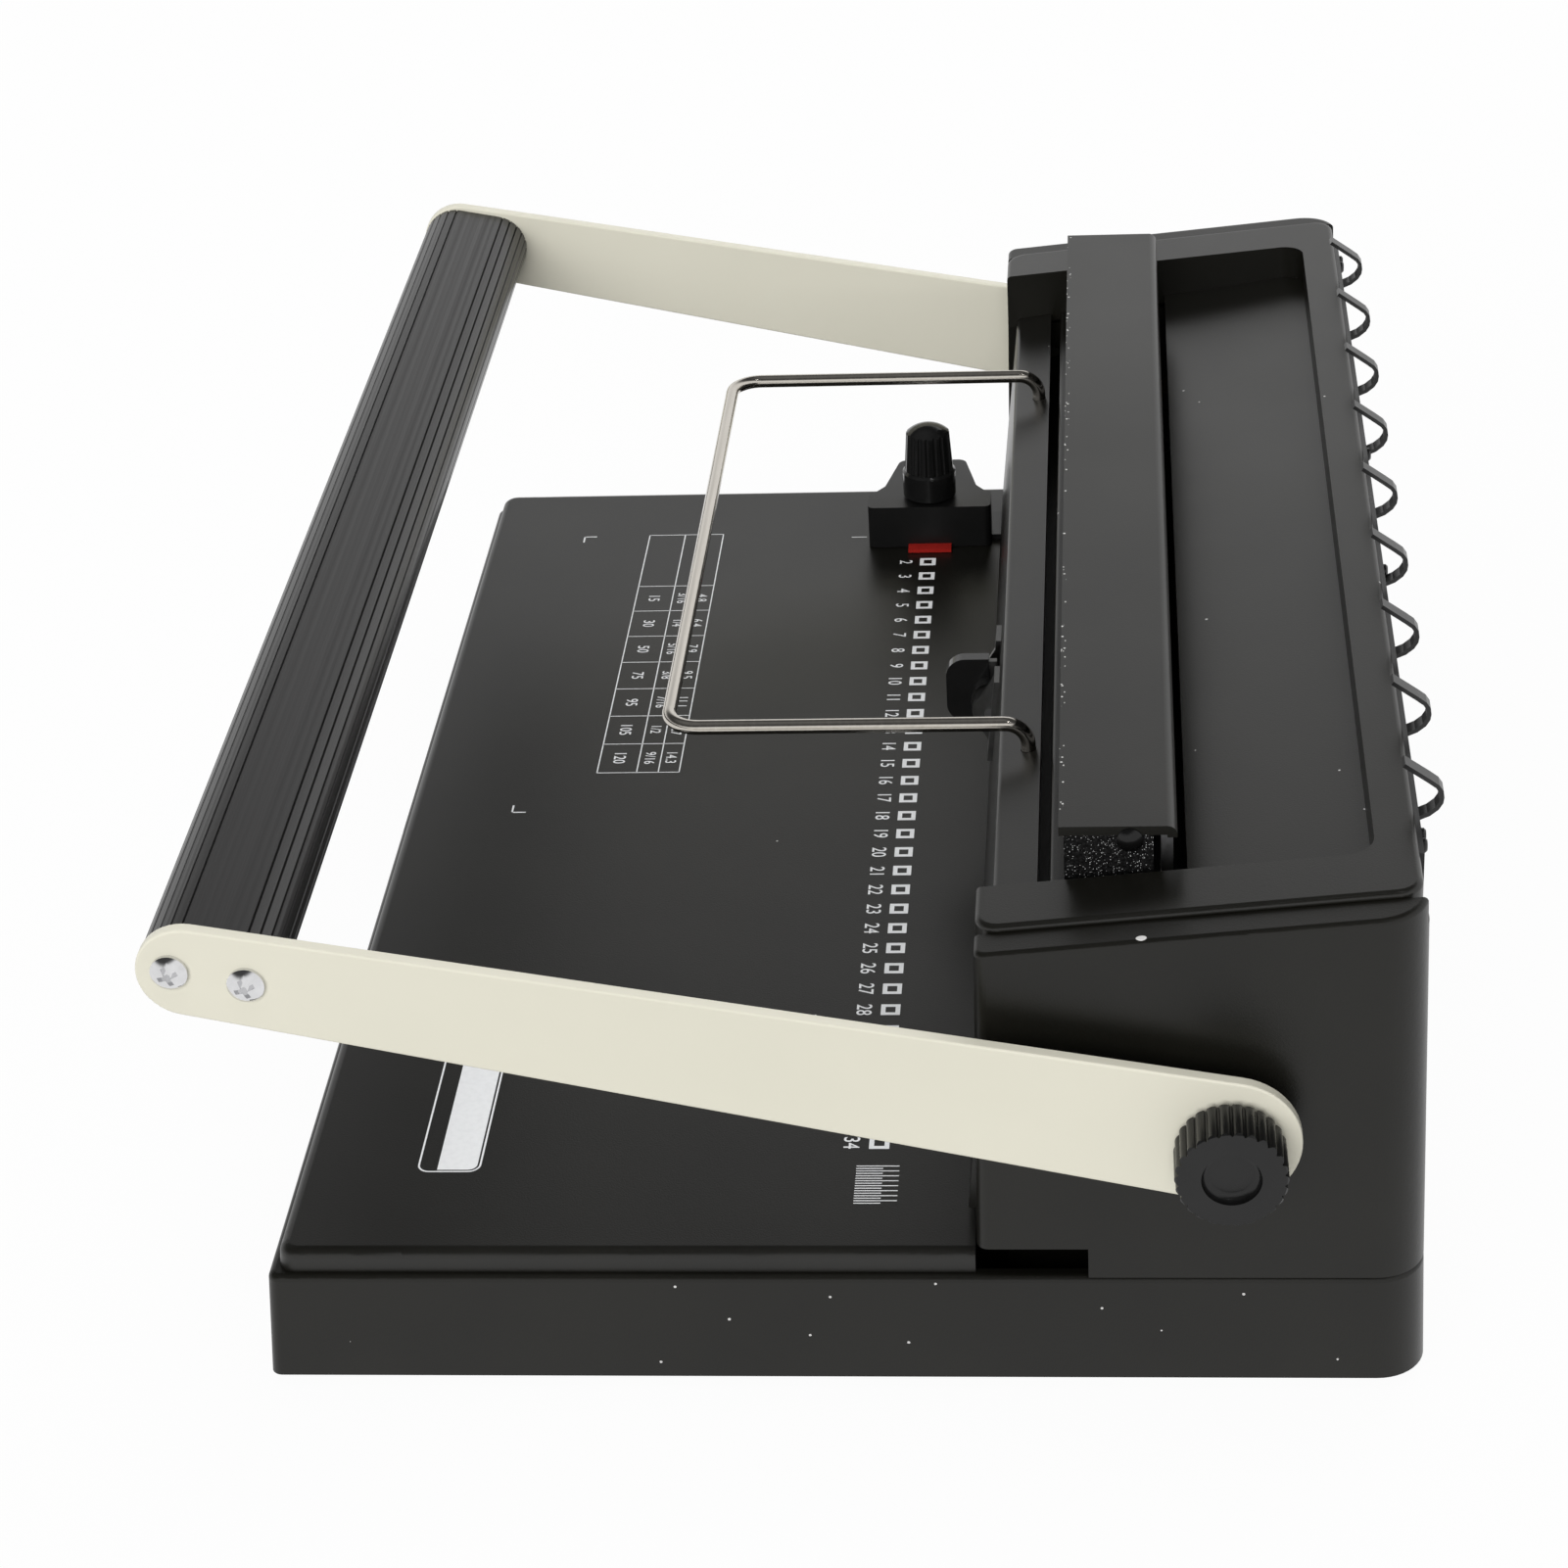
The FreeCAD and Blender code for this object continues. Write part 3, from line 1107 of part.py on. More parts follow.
def lever_cap():
    """Glossy thumb cap over the end of the selector plate."""
    t = CAP_T / 2
    y1 = LEVER_Y - CAP_GAP
    y0 = y1 - CAP_W
    z0 = LEVER_Z + CAP_UP - CAP_H / 2
    z1 = z0 + CAP_H
    body = box(-t, t, y0, y1, z0, z1)
    body = body.makeFillet(CAP_WALL_R, edges_at(body, lambda b: b.XLength > 1 and b.YMax < y0 + 0.1))
    body = body.cut(rod_x(-t - 1, t + 1, LEVER_Y, LEVER_Z, LEVER_HUB_R + 0.3))
    p = LEVER_PLATE_T / 2 + 0.05
    slot = box(-p, p, LEVER_Y - CAP_OUT - 0.05, y1 + 1, LEVER_Z + CAP_UP - 3.3, z1 - 0.95)
    low = box(-p, p, LEVER_Y - 4, y1 + 1, LEVER_Z - 1, z1 - 0.95)
    return body.cut(slot.fuse(low))


def lever_bracket():
    """Folded bracket on the front panel: a back plate on each side of the slot, and two ears."""
    ears = []
    x_in = LEVER_HUB_W / 2 + EAR_GAP
    z0 = LEVER_Z - 9
    z1 = LEVER_Z + 12
    for sx in (-1, 1):
        ex0 = min(sx * x_in, sx * (x_in + EAR_T))
        wx0 = min(sx * x_in, sx * (x_in + 8))
        ear = slab(ex0, ex0 + EAR_T, [
            (panel_y(z0), z0), (LEVER_Y - 3.2, LEVER_Z - 3), (LEVER_Y - 3.2, LEVER_Z + 3),
            (panel_y(z1), z1),
        ])
        base = slab(wx0, wx0 + 8, [
            (panel_y(z0) - EAR_T, z0), (panel_y(z0), z0), (panel_y(z1), z1), (panel_y(z1) - EAR_T, z1),
        ])
        ear = ear.fuse(base)
        ear = ear.cut(rod_x(-30, 30, LEVER_Y, LEVER_Z, LEVER_PIN_R + RUN_FIT))
        ears.append(ear)
    return Part.makeCompound(ears)


def lever_pin():
    return rod_x(-LEVER_PIN_HALF, LEVER_PIN_HALF, LEVER_Y, LEVER_Z, LEVER_PIN_R)


def hook_xs():
    pitch = HOOK_HOLES * HOLE_PITCH
    return [(i - (HOOK_COUNT - 1) / 2) * pitch for i in range(HOOK_COUNT)]


def hook_strip():
    """Back plate along the rear wall with a row of flat hooks that curl back over the lid."""
    y0 = REAR_WALL_Y
    top = HOOK_PLATE_TOP
    half = DIE_HALF - HOOK_PLATE_END
    body = box(-half, half, y0, y0 + HOOK_PLATE_T, top - HOOK_PLATE_H, top)
    foot_z = top - HOOK_FOOT_DOWN
    path = [(y0 + HOOK_PLATE_T - 0.3, foot_z)]
    curve = ((0.55, 0.09), (0.83, 0.2), (0.97, 0.31), (1.0, 0.41), (0.97, 0.52), (0.83, 0.62), (0.55, 0.72))
    for out, up in curve:
        path.append((y0 + HOOK_REACH * out, foot_z + HOOK_RISE * up))
    path.append((y0 - HOOK_OVER_LID, foot_z + HOOK_RISE))
    outline = strip(path, HOOK_T)
    hooks = [slab(x - HOOK_W / 2, x + HOOK_W / 2, outline) for x in hook_xs()]
    return body.fuse(hooks).removeSplitter()


def rear_screws():
    xs = hook_xs()
    near = xs[-1] + HOOK_W / 2 + HOOK_END_SCREW - HOOK_SCREW_STEP / 2
    end = near + HOOK_SCREW_STEP
    y = REAR_WALL_Y + HOOK_PLATE_T
    z = HOOK_PLATE_TOP - HOOK_SCREW_DOWN
    beside = HOOK_W / 2 + HOOK_SCREW_R + LOOSE
    heads = []
    for x in (-end, -near, xs[3] + beside, xs[5] - beside, near, end):
        head = rod_y(y, y + 1.0, x, z, HOOK_SCREW_R)
        head = head.makeChamfer(0.4, edges_at(head, lambda b: b.YMin > y + 0.8))
        heads.append(head)
    return Part.makeCompound(heads)


def waste_drawer():
    y1 = REAR_Y - 0.4
    body = box(-DRAWER_HALF, DRAWER_HALF, DRAWER_Y0, y1, DRAWER_Z0, DRAWER_TOP)
    body = body.makeFillet(3.0, edges_at(body, lambda b: b.ZLength > 5 and b.YMax < DRAWER_Y0 + 1))
    w = DRAWER_WALL
    inside = box(-DRAWER_HALF + w, DRAWER_HALF - w, DRAWER_Y0 + w, y1 - 3, DRAWER_Z0 + w, DRAWER_TOP + 1)
    body = body.cut(inside)
    half = GRIP_BAR_W / 2
    z1 = DRAWER_TOP - 3
    z0 = z1 - GRIP_BAR_H
    bar = box(-half, half, y1, y1 + GRIP_BAR_D, z0, z1)
    bar = bar.makeFillet(1.5, edges_at(bar, lambda b: b.YMin > y1 + 1 and b.XLength > 5))
    bar = bar.cut(box(-half + 2, half - 2, y1, y1 + 3.6, z0 - 1, z1 - 2))
    return body.fuse(bar)


def both(shape):
    return Part.makeCompound([shape, mirror_x(shape)])


def mirrored_screws():
    screws = [arm_screw(s) for s in screw_stations()]
    return Part.makeCompound(screws + [mirror_x(s) for s in screws])


right_cheek = side_cheek()
frame = side_frame()
right_arm = arm()
knob = pivot_knob()

base_tray().exportStep("parts/base_tray.step")
rubber_feet().exportStep("parts/rubber_feet.step")
bed_cover().exportStep("parts/bed_cover.step")
right_cheek.exportStep("parts/side_cheek_right.step")
mirror_x(right_cheek).exportStep("parts/side_cheek_left.step")
top_lid().exportStep("parts/top_lid.step")
front_panel().exportStep("parts/front_panel.step")
rear_panel().exportStep("parts/rear_panel.step")
frame.exportStep("parts/side_frame_right.step")
mirror_x(frame).exportStep("parts/side_frame_left.step")
both(bushing()).exportStep("parts/shaft_bushings.step")
tool_bar(BED_Z - DIE_T, BED_Z).exportStep("parts/die_plate.step")
tool_bar(STRIP_Z, STRIP_Z + STRIPPER_T).exportStep("parts/stripper_plate.step")
paper_stop().exportStep("parts/paper_stop.step")
guide_rods().exportStep("parts/guide_rods.step")
punch_pins().exportStep("parts/punch_pins.step")
punch_beam().exportStep("parts/punch_beam.step")
both(lift_rack()).exportStep("parts/lift_racks.step")
both(pinion()).exportStep("parts/pinions.step")
cross_shaft().exportStep("parts/cross_shaft.step")
right_arm.exportStep("parts/arm_right.step")
mirror_x(right_arm).exportStep("parts/arm_left.step")
mirrored_screws().exportStep("parts/arm_screws.step")
handle_grip().exportStep("parts/handle_grip.step")
both(pivot_washer()).exportStep("parts/pivot_washers.step")
knob.exportStep("parts/pivot_knob_right.step")
mirror_x(knob).exportStep("parts/pivot_knob_left.step")
closer_cover().exportStep("parts/closer_cover.step")
closer_block().exportStep("parts/closer_block.step")
closer_anvil().exportStep("parts/closer_anvil.step")
both(closer_end_screw()).exportStep("parts/closer_end_screws.step")
paper_support().exportStep("parts/paper_support.step")
guide_block().exportStep("parts/guide_block.step")
guide_tongue().exportStep("parts/guide_tongue.step")
guide_pointer().exportStep("parts/guide_pointer.step")
guide_knob().exportStep("parts/guide_knob.step")
lever_hub().exportStep("parts/margin_lever.step")
lever_cap().exportStep("parts/lever_cap.step")
lever_bracket().exportStep("parts/lever_bracket.step")
lever_pin().exportStep("parts/lever_pin.step")
hook_strip().exportStep("parts/hook_strip.step")
rear_screws().exportStep("parts/rear_screws.step")
waste_drawer().exportStep("parts/waste_drawer.step")
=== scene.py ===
import bpy
import math
from mathutils import Matrix, Vector


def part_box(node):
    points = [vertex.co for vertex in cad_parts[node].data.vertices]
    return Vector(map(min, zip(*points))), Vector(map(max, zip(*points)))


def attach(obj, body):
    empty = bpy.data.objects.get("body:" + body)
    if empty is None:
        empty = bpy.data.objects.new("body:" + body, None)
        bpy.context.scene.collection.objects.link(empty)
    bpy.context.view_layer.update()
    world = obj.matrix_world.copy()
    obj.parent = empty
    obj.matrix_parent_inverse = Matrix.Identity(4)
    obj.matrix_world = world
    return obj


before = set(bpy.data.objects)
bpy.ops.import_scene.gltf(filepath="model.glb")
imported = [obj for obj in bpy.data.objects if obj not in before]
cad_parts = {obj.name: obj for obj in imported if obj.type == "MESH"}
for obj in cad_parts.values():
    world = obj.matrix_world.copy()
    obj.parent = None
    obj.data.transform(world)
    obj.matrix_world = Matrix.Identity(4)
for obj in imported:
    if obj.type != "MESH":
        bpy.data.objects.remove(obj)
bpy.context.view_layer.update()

MM = 0.001


# Node helpers

class Tree:
    """Short calls that add nodes to one node tree and link them."""

    def __init__(self, tree):
        self.tree = tree

    def new(self, kind, **values):
        """Adds a node. Each value goes to the input of that name, or else to the node's own setting."""
        node = self.tree.nodes.new(kind)
        for key, value in values.items():
            if key in node.inputs:
                node.inputs[key].default_value = value
            else:
                setattr(node, key, value)
        return node

    def link(self, a, b):
        self.tree.links.new(a, b)

    def feed(self, socket, value):
        """Sets a socket to a plain number or colour, or links it to the output given."""
        if isinstance(value, tuple):
            socket.default_value = (*value, 1.0)
        elif isinstance(value, (int, float)):
            socket.default_value = value
        else:
            self.link(value, socket)

    def math(self, operation, a, b):
        node = self.new("ShaderNodeMath", operation=operation)
        self.feed(node.inputs[0], a)
        self.feed(node.inputs[1], b)
        return node.outputs["Value"]

    def vector(self, operation, a, b=None):
        """Vector Math node between an output and, where it takes two, a plain vector."""
        node = self.new("ShaderNodeVectorMath", operation=operation)
        self.link(a, node.inputs[0])
        if b is not None:
            node.inputs[1].default_value = b
        return node

    def ramp(self, fac, stops):
        """Colour ramp whose stops are pairs of a place and a colour."""
        node = self.new("ShaderNodeValToRGB")
        items = node.color_ramp.elements
        while len(items) < len(stops):
            items.new(0.5)
        for item, (place, colour) in zip(items, stops):
            item.position = place
            item.color = (*colour, 1.0)
        self.link(fac, node.inputs["Fac"])
        return node.outputs["Color"]


# Part of a noise's range over which a tone or a roughness changes
LOW = 0.3
HIGH = 0.7


class Coat(Tree):
    """One material's node tree, textured in the part's own metres. Texture scales are features per metre."""

    def __init__(self, name):
        self.mat = bpy.data.materials.new(name)
        self.mat.use_nodes = True
        super().__init__(self.mat.node_tree)
        self.bsdf = self.tree.nodes["Principled BSDF"]
        self.coord = self.new("ShaderNodeTexCoord").outputs["Object"]

    def mapped(self, scale):
        node = self.new("ShaderNodeMapping", Scale=scale)
        self.link(self.coord, node.inputs["Vector"])
        return node.outputs["Vector"]

    def noise(self, scale, detail=3.0, rough=0.5, vector=None):
        node = self.new("ShaderNodeTexNoise", Scale=scale, Detail=detail, Roughness=rough)
        self.link(vector or self.coord, node.inputs["Vector"])
        return node.outputs["Fac"]

    def cells(self, scale):
        """Distance to the nearest cell's middle, and two random numbers of that cell."""
        node = self.new("ShaderNodeTexVoronoi", Scale=scale)
        self.link(self.coord, node.inputs["Vector"])
        split = self.new("ShaderNodeSeparateColor")
        self.link(node.outputs["Color"], split.inputs["Color"])
        return node.outputs["Distance"], split.outputs["Red"], split.outputs["Green"]

    def tones(self, fac, dark, pale, low=LOW, high=HIGH):
        return self.ramp(fac, [(low, dark), (high, pale)])

    def span(self, fac, out_low, out_high, low=LOW, high=HIGH):
        node = self.new("ShaderNodeMapRange")
        for key, value in zip(("From Min", "From Max", "To Min", "To Max"), (low, high, out_low, out_high)):
            node.inputs[key].default_value = value
        self.link(fac, node.inputs["Value"])
        return node.outputs["Result"]

    def mix(self, fac, a, b):
        node = self.new("ShaderNodeMix", data_type="RGBA")
        self.link(fac, node.inputs["Factor"])
        self.feed(node.inputs[6], a)
        self.feed(node.inputs[7], b)
        return node.outputs[2]

    def axis(self, name):
        node = self.new("ShaderNodeSeparateXYZ")
        self.link(self.coord, node.inputs["Vector"])
        return node.outputs[name]

    def bump(self, height, strength, distance):
        node = self.new("ShaderNodeBump", Strength=strength, Distance=distance)
        self.link(height, node.inputs["Height"])
        self.link(node.outputs["Normal"], self.bsdf.inputs["Normal"])

    def set(self, name, value):
        self.feed(self.bsdf.inputs[name], value)


# Dust, a pale spot and painted highlights along an edge

DUST_SCALE = 120.0
DUST_SIZE = 0.038
DUST_BARE = 0.86
DUST_COLOUR = (0.62, 0.61, 0.6)

PALE_SPOT = (176.9 * MM, 66.4 * MM, 107.4 * MM)
PALE_SPOT_R = 0.8 * MM
PALE_SPOT_SHAPE = (1.0, 0.75, 1.5)

# Painted highlights: bright spots along the closing cover's front edge. Their colour also tints that coat's
# dust specks.
GLINT_EDGE = 1.0 * MM
GLINT_SCALE = 1500.0
GLINT_SIZE = 0.4
GLINT_BARE = 0.86
GLINT_PATCHES = 45.0
GLINT_FROM = 0.45
GLINT_AND_DUST_COLOUR = (0.6, 0.6, 0.58)


def speck_mask(coat, scale, size, bare):
    """Round specks. Size is their radius as a share of a cell, and bare the share of cells without one."""
    distance, draw, _ = coat.cells(scale)
    near = coat.math("LESS_THAN", distance, size)
    return coat.math("MULTIPLY", near, coat.math("GREATER_THAN", draw, bare))


def dust_mask(coat, bare=DUST_BARE):
    return speck_mask(coat, DUST_SCALE, DUST_SIZE, bare)


def chip_mask(coat):
    """One small pale spot at the top edge of the right cheek."""
    away = coat.vector("SUBTRACT", coat.coord, PALE_SPOT)
    shaped = coat.vector("MULTIPLY", away.outputs["Vector"], PALE_SPOT_SHAPE)
    size = coat.vector("LENGTH", shaped.outputs["Vector"])
    return coat.math("LESS_THAN", size.outputs["Value"], PALE_SPOT_R)


def rubbed_mask(coat):
    """Painted highlights: bright spots in a few places along the closing cover's front edge."""
    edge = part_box("closer_cover")[0].y
    near_edge = coat.math("LESS_THAN", coat.axis("Y"), edge + GLINT_EDGE)
    spots = coat.math("MULTIPLY", near_edge, speck_mask(coat, GLINT_SCALE, GLINT_SIZE, GLINT_BARE))
    patches = coat.math("GREATER_THAN", coat.noise(GLINT_PATCHES, 2.0), GLINT_FROM)
    return coat.math("MULTIPLY", spots, patches)


# Materials

MOTTLE = 26.0
CLOUDS = 9.0
SKIN_GRAIN = 2600.0
SKIN_DEPTH = 0.08 * MM


def warm(shade):
    """Black with a slight warm cast."""
    return (shade * 1.05, shade, shade * 0.75)


def black_skin(coat, dark, pale, specks, speck_colour, roughness, specular, grain):
    """Black moulded or powder-coated skin: fine grain, soft mottling and the specks of a mask."""
    base = coat.tones(coat.noise(MOTTLE, 4.0), warm(dark), warm(pale), low=0.35)
    coat.set("Base Color", coat.mix(specks, base, speck_colour))
    clouds = coat.noise(CLOUDS, 5.0, 0.6)
    coat.set("Roughness", coat.span(clouds, roughness - 0.03, roughness + 0.04, high=0.75))
    coat.set("Specular IOR Level", specular)
    coat.bump(coat.noise(SKIN_GRAIN, 2.0), grain, SKIN_DEPTH)
    return coat.mat


def satin_black(name, shade, roughness, specular, grain, bare=DUST_BARE):
    """Black skin with a little dust. The pale spot shows on the one coat that reaches its place."""
    coat = Coat(name)
    specks = coat.math("MAXIMUM", dust_mask(coat, bare), chip_mask(coat))
    return black_skin(coat, shade * 0.8, shade * 1.2, specks, DUST_COLOUR, roughness, specular, grain)


def closer_coat():
    """Coat of the closing cover, with bright spots along its front edge that are painted highlights."""
    coat = Coat("closer_coat")
    specks = coat.math("MAXIMUM", dust_mask(coat), rubbed_mask(coat))
    return black_skin(
        coat, dark=0.005, pale=0.008, specks=specks, speck_colour=GLINT_AND_DUST_COLOUR,
        roughness=0.33, specular=0.42, grain=0.2,
    )


def painted_cream():
    """Cream enamel of the arms, with a few brown specks."""
    coat = Coat("cream_paint")
    base = coat.tones(coat.noise(14.0, 4.0), (0.70, 0.68, 0.57), (0.735, 0.712, 0.60))
    specks = speck_mask(coat, scale=160.0, size=0.035, bare=0.93)
    coat.set("Base Color", coat.mix(specks, base, (0.33, 0.30, 0.24)))
    coat.set("Roughness", coat.span(coat.noise(40.0), 0.36, 0.46))
    coat.set("Specular IOR Level", 0.45)
    coat.bump(coat.noise(420.0), strength=0.12, distance=0.2 * MM)
    return coat.mat


def drawn_metal(name, colour, roughness, stretch, streak=0.06):
    """Metal with fine lines along one axis."""
    coat = Coat(name)
    lines = coat.noise(1.0, 5.0, 0.6, coat.mapped(stretch))
    dark = tuple(c * 0.86 for c in colour)
    coat.set("Base Color", coat.tones(lines, dark, colour))
    coat.set("Metallic", 1.0)
    coat.set("Roughness", coat.span(lines, roughness - streak, roughness + streak, low=0.25, high=0.75))
    coat.bump(lines, strength=0.15, distance=0.05 * MM)
    return coat.mat


GRIP_TILT = math.radians(11.5)
GRIP_ACROSS = (0.0, -math.cos(GRIP_TILT), math.sin(GRIP_TILT))
GRIP_LINES = 620.0
GRIP_BRUSH = (6.0, 900.0, 900.0)


def anodised_black():
    """Coat of the drawn grip, with fine lines that run along its whole length."""
    coat = Coat("grip_coat")
    across = coat.vector("DOT_PRODUCT", coat.coord, GRIP_ACROSS)
    drawn = coat.new(
        "ShaderNodeTexNoise", noise_dimensions="1D", Scale=GRIP_LINES, Detail=2.0, Roughness=0.6
    )
    coat.link(across.outputs["Value"], drawn.inputs["W"])
    lines = drawn.outputs["Fac"]
    brushed = coat.noise(1.0, 4.0, 0.6, coat.mapped(GRIP_BRUSH))
    coat.set("Base Color", coat.tones(brushed, (0.0095, 0.009, 0.009), (0.0135, 0.013, 0.013), high=0.75))
    coat.set("Roughness", coat.span(lines, 0.28, 0.42))
    coat.set("Specular IOR Level", 0.49)
    height = coat.math("ADD", coat.math("MULTIPLY", brushed, 0.25), lines)
    coat.bump(height, strength=0.6, distance=0.14 * MM)
    return coat.mat


BLOCK_GRAINS = 3000.0
BLOCK_GRAIN_SIZE = 0.26
BLOCK_BARE = 0.76


def speckled_block():
    """Rough black bar full of fine bright grains of different strength."""
    coat = Coat("speckled_black")
    distance, draw, strength = coat.cells(BLOCK_GRAINS)
    near = coat.math("LESS_THAN", distance, BLOCK_GRAIN_SIZE)
    grains = coat.math("MULTIPLY", near, coat.math("GREATER_THAN", draw, BLOCK_BARE))
    grains = coat.math("MULTIPLY", grains, coat.span(strength, 0.05, 0.95, high=1.0))
    base = coat.tones(coat.noise(1800.0, 2.0), (0.002,) * 3, (0.009,) * 3, low=0.4)
    coat.set("Base Color", coat.mix(grains, base, (0.7, 0.71, 0.7)))
    coat.set("Roughness", 0.55)
    coat.set("Specular IOR Level", 0.18)
    coat.bump(coat.noise(1400.0), strength=0.6, distance=0.4 * MM)
    return coat.mat


def red_plastic():
    coat = Coat("red_plastic")
    # The red is darkened to paint in the shade that the guide block casts on the pointer: painted shade.
    coat.set("Base Color", coat.tones(coat.noise(300.0), (0.27, 0.012, 0.009), (0.33, 0.015, 0.011)))
    coat.set("Roughness", 0.35)
    coat.set("Specular IOR Level", 0.3)
    return coat.mat


def plastic(name, shade, roughness, specular=0.5):
    """Plain dark plastic, a little uneven."""
    coat = Coat(name)
    coat.set("Base Color", coat.tones(coat.noise(120.0), (shade * 0.85,) * 3, (shade * 1.15,) * 3))
    coat.set("Roughness", coat.span(coat.noise(60.0), roughness - 0.04, roughness + 0.04))
    coat.set("Specular IOR Level", specular)
    coat.bump(coat.noise(1500.0, 2.0), strength=0.1, distance=0.06 * MM)
    return coat.mat


def rubber():
    coat = Coat("foot_rubber")
    coat.set("Base Color", coat.tones(coat.noise(400.0, 4.0), (0.012,) * 3, (0.02,) * 3))
    coat.set("Roughness", 0.82)
    coat.bump(coat.noise(900.0), strength=0.4, distance=0.2 * MM)
    return coat.mat


def print_white():
    """Screen-printed ink, a little uneven."""
    coat = Coat("print_ink")
    coat.set("Base Color", coat.tones(coat.noise(700.0), (0.77, 0.78, 0.79), (0.81, 0.82, 0.83), high=0.6))
    coat.set("Roughness", 0.55)
    return coat.mat


# Printed marks on the bed

INK_LIFT = 0.04 * MM
FONT_CAP = 0.70
FONT_NARROW = 0.93
FONT_WEIGHT = 0.006


class Ink:
    """Collects flat shapes that lie just over the bed, then makes one mesh of them."""

    def __init__(self, z):
        self.z = z
        self.points = []
        self.faces = []

    def polygon(self, pts):
        start = len(self.points)
        self.points += [(x, y, self.z) for x, y in pts]
        self.faces.append(tuple(range(start, start + len(pts))))

    def bar(self, x0, x1, y0, y1):
        self.polygon([(x0, y0), (x1, y0), (x1, y1), (x0, y1)])

    def line_across(self, x0, x1, y, width):
        self.bar(x0, x1, y - width / 2, y + width / 2)

    def line_along(self, x, y0, y1, width):
        self.bar(x - width / 2, x + width / 2, y0, y1)

    def frame_box(self, x, y, half, line):
        """Outline of a square round the point given."""
        x0, x1, y0, y1 = x - half, x + half, y - half, y + half
        self.bar(x0, x1, y0, y0 + line)
        self.bar(x0, x1, y1 - line, y1)
        self.bar(x0, x0 + line, y0 + line, y1 - line)
        self.bar(x1 - line, x1, y0 + line, y1 - line)

    def text(self, words, x, y, height):
        """Figures that read along +X, their own box centred on the point given."""
        curve = bpy.data.curves.new("figures", "FONT")
        curve.body = words
        curve.size = height / FONT_CAP
        curve.offset = FONT_WEIGHT * curve.size
        curve.resolution_u = 4
        holder = bpy.data.objects.new("figures", curve)
        bpy.context.collection.objects.link(holder)
        bpy.context.view_layer.update()
        shape = bpy.data.meshes.new_from_object(holder.evaluated_get(bpy.context.evaluated_depsgraph_get()))
        xs = [v.co.x for v in shape.vertices]
        ys = [v.co.y for v in shape.vertices]
        mid_x = (min(xs) + max(xs)) / 2
        mid_y = (min(ys) + max(ys)) / 2
        start = len(self.points)
        for v in shape.vertices:
            self.points.append((x + (v.co.x - mid_x) * FONT_NARROW, y + v.co.y - mid_y, self.z))
        self.faces += [tuple(start + i for i in p.vertices) for p in shape.polygons]
        bpy.data.objects.remove(holder)
        bpy.data.curves.remove(curve)
        bpy.data.meshes.remove(shape)

    def build(self, name, material, body):
        mesh = bpy.data.meshes.new(name)
        mesh.from_pydata(self.points, [], self.faces)
        mesh.materials.append(material)
        piece = bpy.data.objects.new(name, mesh)
        bpy.context.collection.objects.link(piece)
        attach(piece, body)


PITCH = 25.4 * MM / 3
HOLES = 34
SQUARE_Y = 11.4 * MM
SQUARE_HALF = 2.15 * MM
SQUARE_LINE = 1.05 * MM
FIGURE_Y = 5.55 * MM
FIGURE_HEIGHT = 3.4 * MM
TICK_BEFORE_FIRST = 7.2 * MM
TICK_Y0 = -10.2 * MM
TICK_Y1 = -6.0 * MM
TICK_LINE = 0.34 * MM


def hole_x(i):
    """Centre of hole number i, counted from the left."""
    return (i - (HOLES + 1) / 2) * PITCH


def hole_scale(ink):
    """Numbered squares, one for each hole from the second on, and the tick before the first."""
    for i in range(2, HOLES + 1):
        ink.frame_box(hole_x(i), SQUARE_Y, SQUARE_HALF, SQUARE_LINE)
        ink.text(str(i), hole_x(i), FIGURE_Y, FIGURE_HEIGHT)
    ink.line_along(hole_x(1) - TICK_BEFORE_FIRST, TICK_Y0, TICK_Y1, TICK_LINE)


TABLE_X0 = -150.0 * MM
TABLE_X1 = -18.0 * MM
TABLE_Y = (-66.5 * MM, -56.6 * MM, -51.2 * MM, -46.0 * MM)
TABLE_HEAD = 31.0 * MM
TABLE_LINE = 0.3 * MM
TABLE_ROWS = (
    ("15", "30", "50", "75", "95", "105", "120"),
    ("3/16", "1/4", "5/16", "3/8", "7/16", "1/2", "9/16"),
    ("4.8", "6.4", "7.9", "9.5", "11.1", "12.7", "14.3"),
)
TABLE_FIGURES = (3.0 * MM, 2.6 * MM, 2.7 * MM)


def capacity_table(ink):
    """Ruled table with plain figures."""
    for y in TABLE_Y:
        ink.line_across(TABLE_X0, TABLE_X1, y, TABLE_LINE)
    columns = len(TABLE_ROWS[0])
    first = TABLE_X0 + TABLE_HEAD
    step = (TABLE_X1 - first) / columns
    for x in [TABLE_X0] + [first + step * k for k in range(columns + 1)]:
        ink.line_along(x, TABLE_Y[0], TABLE_Y[-1], TABLE_LINE)
    for k in range(columns):
        for row, words in enumerate(TABLE_ROWS):
            y = (TABLE_Y[row] + TABLE_Y[row + 1]) / 2
            ink.text(words[k], first + step * (k + 0.5), y, TABLE_FIGURES[row])


CORNER_ARM = 3.6 * MM
CORNER_LINE = 0.45 * MM
CORNERS = ((-149.9 * MM, -84.9 * MM, 1), (1.1 * MM, -85.5 * MM, -1))


def corner_marks(ink):
    """Two corner angles. The last value of each is the side to which its arm points."""
    for x, y, side in CORNERS:
        end = x + side * CORNER_ARM
        edge = x + side * CORNER_LINE
        ink.bar(min(x, end), max(x, end), y, y + CORNER_LINE)
        ink.bar(min(x, edge), max(x, edge), y, y + CORNER_ARM)


RULE_X0 = 148.0 * MM
RULE_Y0 = 7.0 * MM
RULE_LINES = 16
RULE_WIDTH = 13.0 * MM
RULE_LONG = 9.0 * MM
RULE_SHORT = 5.6 * MM
RULE_LINE = 0.32 * MM


